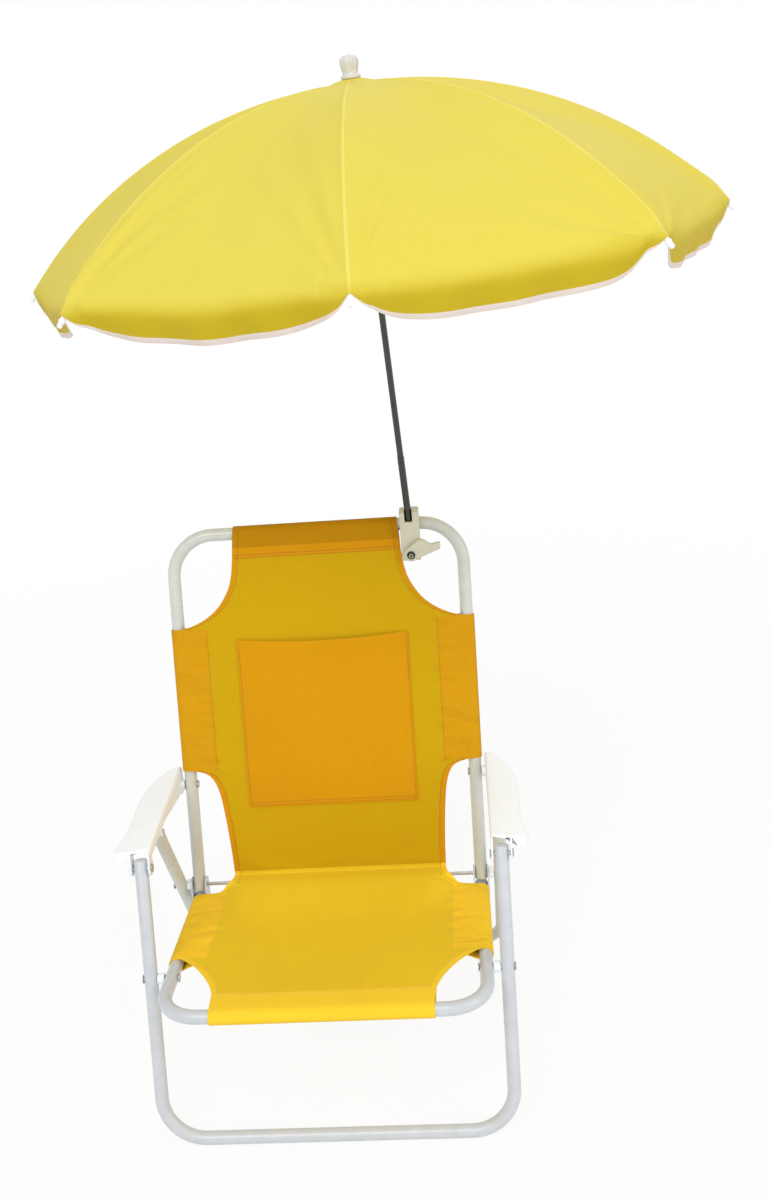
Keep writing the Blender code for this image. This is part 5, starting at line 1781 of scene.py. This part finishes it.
def dress_nodes() -> int:
    """Gives every CAD node that still shows its procedural finish.

    Returns:
        How many nodes it finished.
    """
    steel = ("lower_pole", "upper_pole", "pole_button")
    plastic = ("washer", "notch", "runner")
    count = 0
    for name, node in frame["nodes"].items():
        if node.hide_render:
            continue
        if name in steel or name.startswith(("rib_", "stretcher_")):
            finish = Finish.POLE
        elif any(word in name for word in plastic):
            finish = Finish.PLASTIC
        else:
            finish = Finish.RIVET
        for slot in node.material_slots:
            slot.link = "OBJECT"
            slot.material = finish.material()
        count += 1
    return count


# Each lamp's name, place, side and power
LAMPS = (
    ("key_light", (-0.8, -2.3, 3.1), 2.0, 64.0),
    ("fill_light", (2.5, -1.0, 1.7), 2.0, 22.0),
    ("rear_light", (0.4, 2.4, 2.2), 2.2, 12.0),
)


@dataclass
class Studio:
    """The plain pale set: floor, world, soft lamps and the camera at the photographed view."""

    eye: tuple[float, float, float] = (0.16006, -0.92539, 1.01879)
    yaw: float = math.radians(-4.07596)
    pitch: float = math.radians(-23.82231)
    roll: float = math.radians(-4.85689)
    focal: float = 1218.658
    picture_height: int = 1199
    sensor: float = 36.0
    world_light: float = 0.62
    lit_point: tuple[float, float, float] = (0.0, 0.2, 0.5)
    floor_radius: float = 9.0
    floor_gap: float = 0.0004
    floor_grey: float = 0.86
    shadow_reach: float = 0.6
    near_white: float = 0.88

    def add_floor(self) -> None:
        """Lays a white floor that shows to the camera as white, with the object's soft shadow."""
        shape = bmesh.new()
        bmesh.ops.create_circle(shape, cap_ends=True, segments=64, radius=self.floor_radius)
        mesh = bpy.data.meshes.new("floor")
        shape.to_mesh(mesh)
        shape.free()
        floor = bpy.data.objects.new("floor", mesh)
        floor.location.z = -self.floor_gap
        bpy.context.scene.collection.objects.link(floor)
        material, graph, shader = new_material("white_floor")
        graph.settle(shader, Base_Color=(*[self.floor_grey] * 3, 1), Roughness=0.9, Specular_IOR_Level=0.1)
        light = graph.add("Emission")
        graph.settle(light, Color=(1, 1, 1, 1))
        blend = graph.add("MixShader")
        rays = graph.add("LightPath")
        seen = graph.math("MAXIMUM", rays.outputs["Is Camera Ray"], rays.outputs["Is Glossy Ray"])
        away = graph.add("VectorMath", operation="LENGTH")
        graph.feed(away.inputs[0], graph.add("TexCoord").outputs["Object"])
        past = graph.math("SUBTRACT", away.outputs["Value"], self.shadow_reach)
        far = graph.math("MULTIPLY", past, 0.7, clamp=True)
        white = graph.math("MULTIPLY_ADD", far, 1 - self.near_white, self.near_white)
        graph.feed(blend.inputs[0], graph.math("MULTIPLY", seen, white))
        graph.feed(blend.inputs[1], shader.outputs[0])
        graph.feed(blend.inputs[2], light.outputs[0])
        graph.feed(material.node_tree.nodes["Material Output"].inputs["Surface"], blend.outputs[0])
        mesh.materials.append(material)

    def add_world(self) -> None:
        """Fills the set with soft white light, and shows white to the camera."""
        world = bpy.data.worlds.new("pale_studio")
        bpy.context.scene.world = world
        world.use_nodes = True
        graph = Graph(world.node_tree)
        sky = world.node_tree.nodes["Background"]
        sky.inputs["Color"].default_value = (1, 1, 1, 1)
        rays = graph.add("LightPath")
        seen = graph.math("MAXIMUM", rays.outputs["Is Camera Ray"], rays.outputs["Is Transmission Ray"])
        strength = graph.math("MULTIPLY_ADD", seen, 1 - self.world_light, self.world_light)
        graph.feed(sky.inputs["Strength"], strength)

    def add_lamp(self, name: str, place: tuple[float, float, float], size: float, energy: float) -> None:
        """Adds a square soft lamp that faces the chair.

        Args:
            name: The lamp's name.
            place: Where it hangs.
            size: Its side.
            energy: Its power in watts.
        """
        light = bpy.data.lights.new(name, "AREA")
        light.shape = "SQUARE"
        light.size = size
        light.energy = energy
        lamp = bpy.data.objects.new(name, light)
        lamp.location = place
        lamp.rotation_euler = (Vector(self.lit_point) - Vector(place)).to_track_quat("-Z", "Y").to_euler()
        bpy.context.scene.collection.objects.link(lamp)

    def add_camera(self) -> None:
        """Sets the camera at the photographed view."""
        rise = math.cos(self.pitch)
        forward = Vector((math.sin(self.yaw) * rise, math.cos(self.yaw) * rise, math.sin(self.pitch)))
        level = Vector((math.cos(self.yaw), -math.sin(self.yaw), 0))
        upright = level.cross(forward)
        right = level * math.cos(self.roll) + upright * math.sin(self.roll)
        top = upright * math.cos(self.roll) - level * math.sin(self.roll)
        camera = bpy.data.objects.new("camera", bpy.data.cameras.new("camera"))
        turn = Matrix((right, top, -forward)).transposed().to_4x4()
        camera.matrix_world = Matrix.Translation(self.eye) @ turn
        camera.data.sensor_fit = "VERTICAL"
        camera.data.sensor_height = self.sensor
        camera.data.lens = self.sensor * self.focal / self.picture_height
        camera.data.clip_start = 0.01
        bpy.context.scene.collection.objects.link(camera)
        bpy.context.scene.camera = camera

    def build(self) -> None:
        """Sets up everything round the object."""
        self.add_camera()
        self.add_floor()
        self.add_world()
        for lamp in LAMPS:
            self.add_lamp(*lamp)
        bpy.context.scene.view_settings.view_transform = "Standard"


def main() -> None:
    """Builds the set and every piece in order, and reports each one."""
    logging.basicConfig(level=logging.INFO, format="%(message)s")
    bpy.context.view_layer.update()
    Studio().build()
    for piece in ChairFrame().build():
        LOG.info("tube: %s", piece.name)
    for fitting in fittings():
        LOG.info("fitting: %s", fitting.build().name)
    sling, pocket = Sling(), Pocket()
    cloth = sling.build()
    surface = Surface(cloth)
    patch = pocket.build(surface)
    seams = Seams(sling, pocket)
    LOG.info("seams: %s", seams.build_back(surface, Surface(patch)).name)
    LOG.info("seams: %s", seams.build_seat(surface).name)
    sling.dress(cloth)
    pocket.dress(patch)
    LOG.info("sheets: %s, %s", cloth.name, patch.name)
    for piece in Canopy().build():
        LOG.info("umbrella: %s", piece.name)
    LOG.info("knob: %s", Finial().build().name)
    LOG.info("clamp: %s, %s", ClampLever().build().name, screw_face().name)
    LOG.info("nodes kept and finished: %d", dress_nodes())


if __name__ == "__main__":
    main()
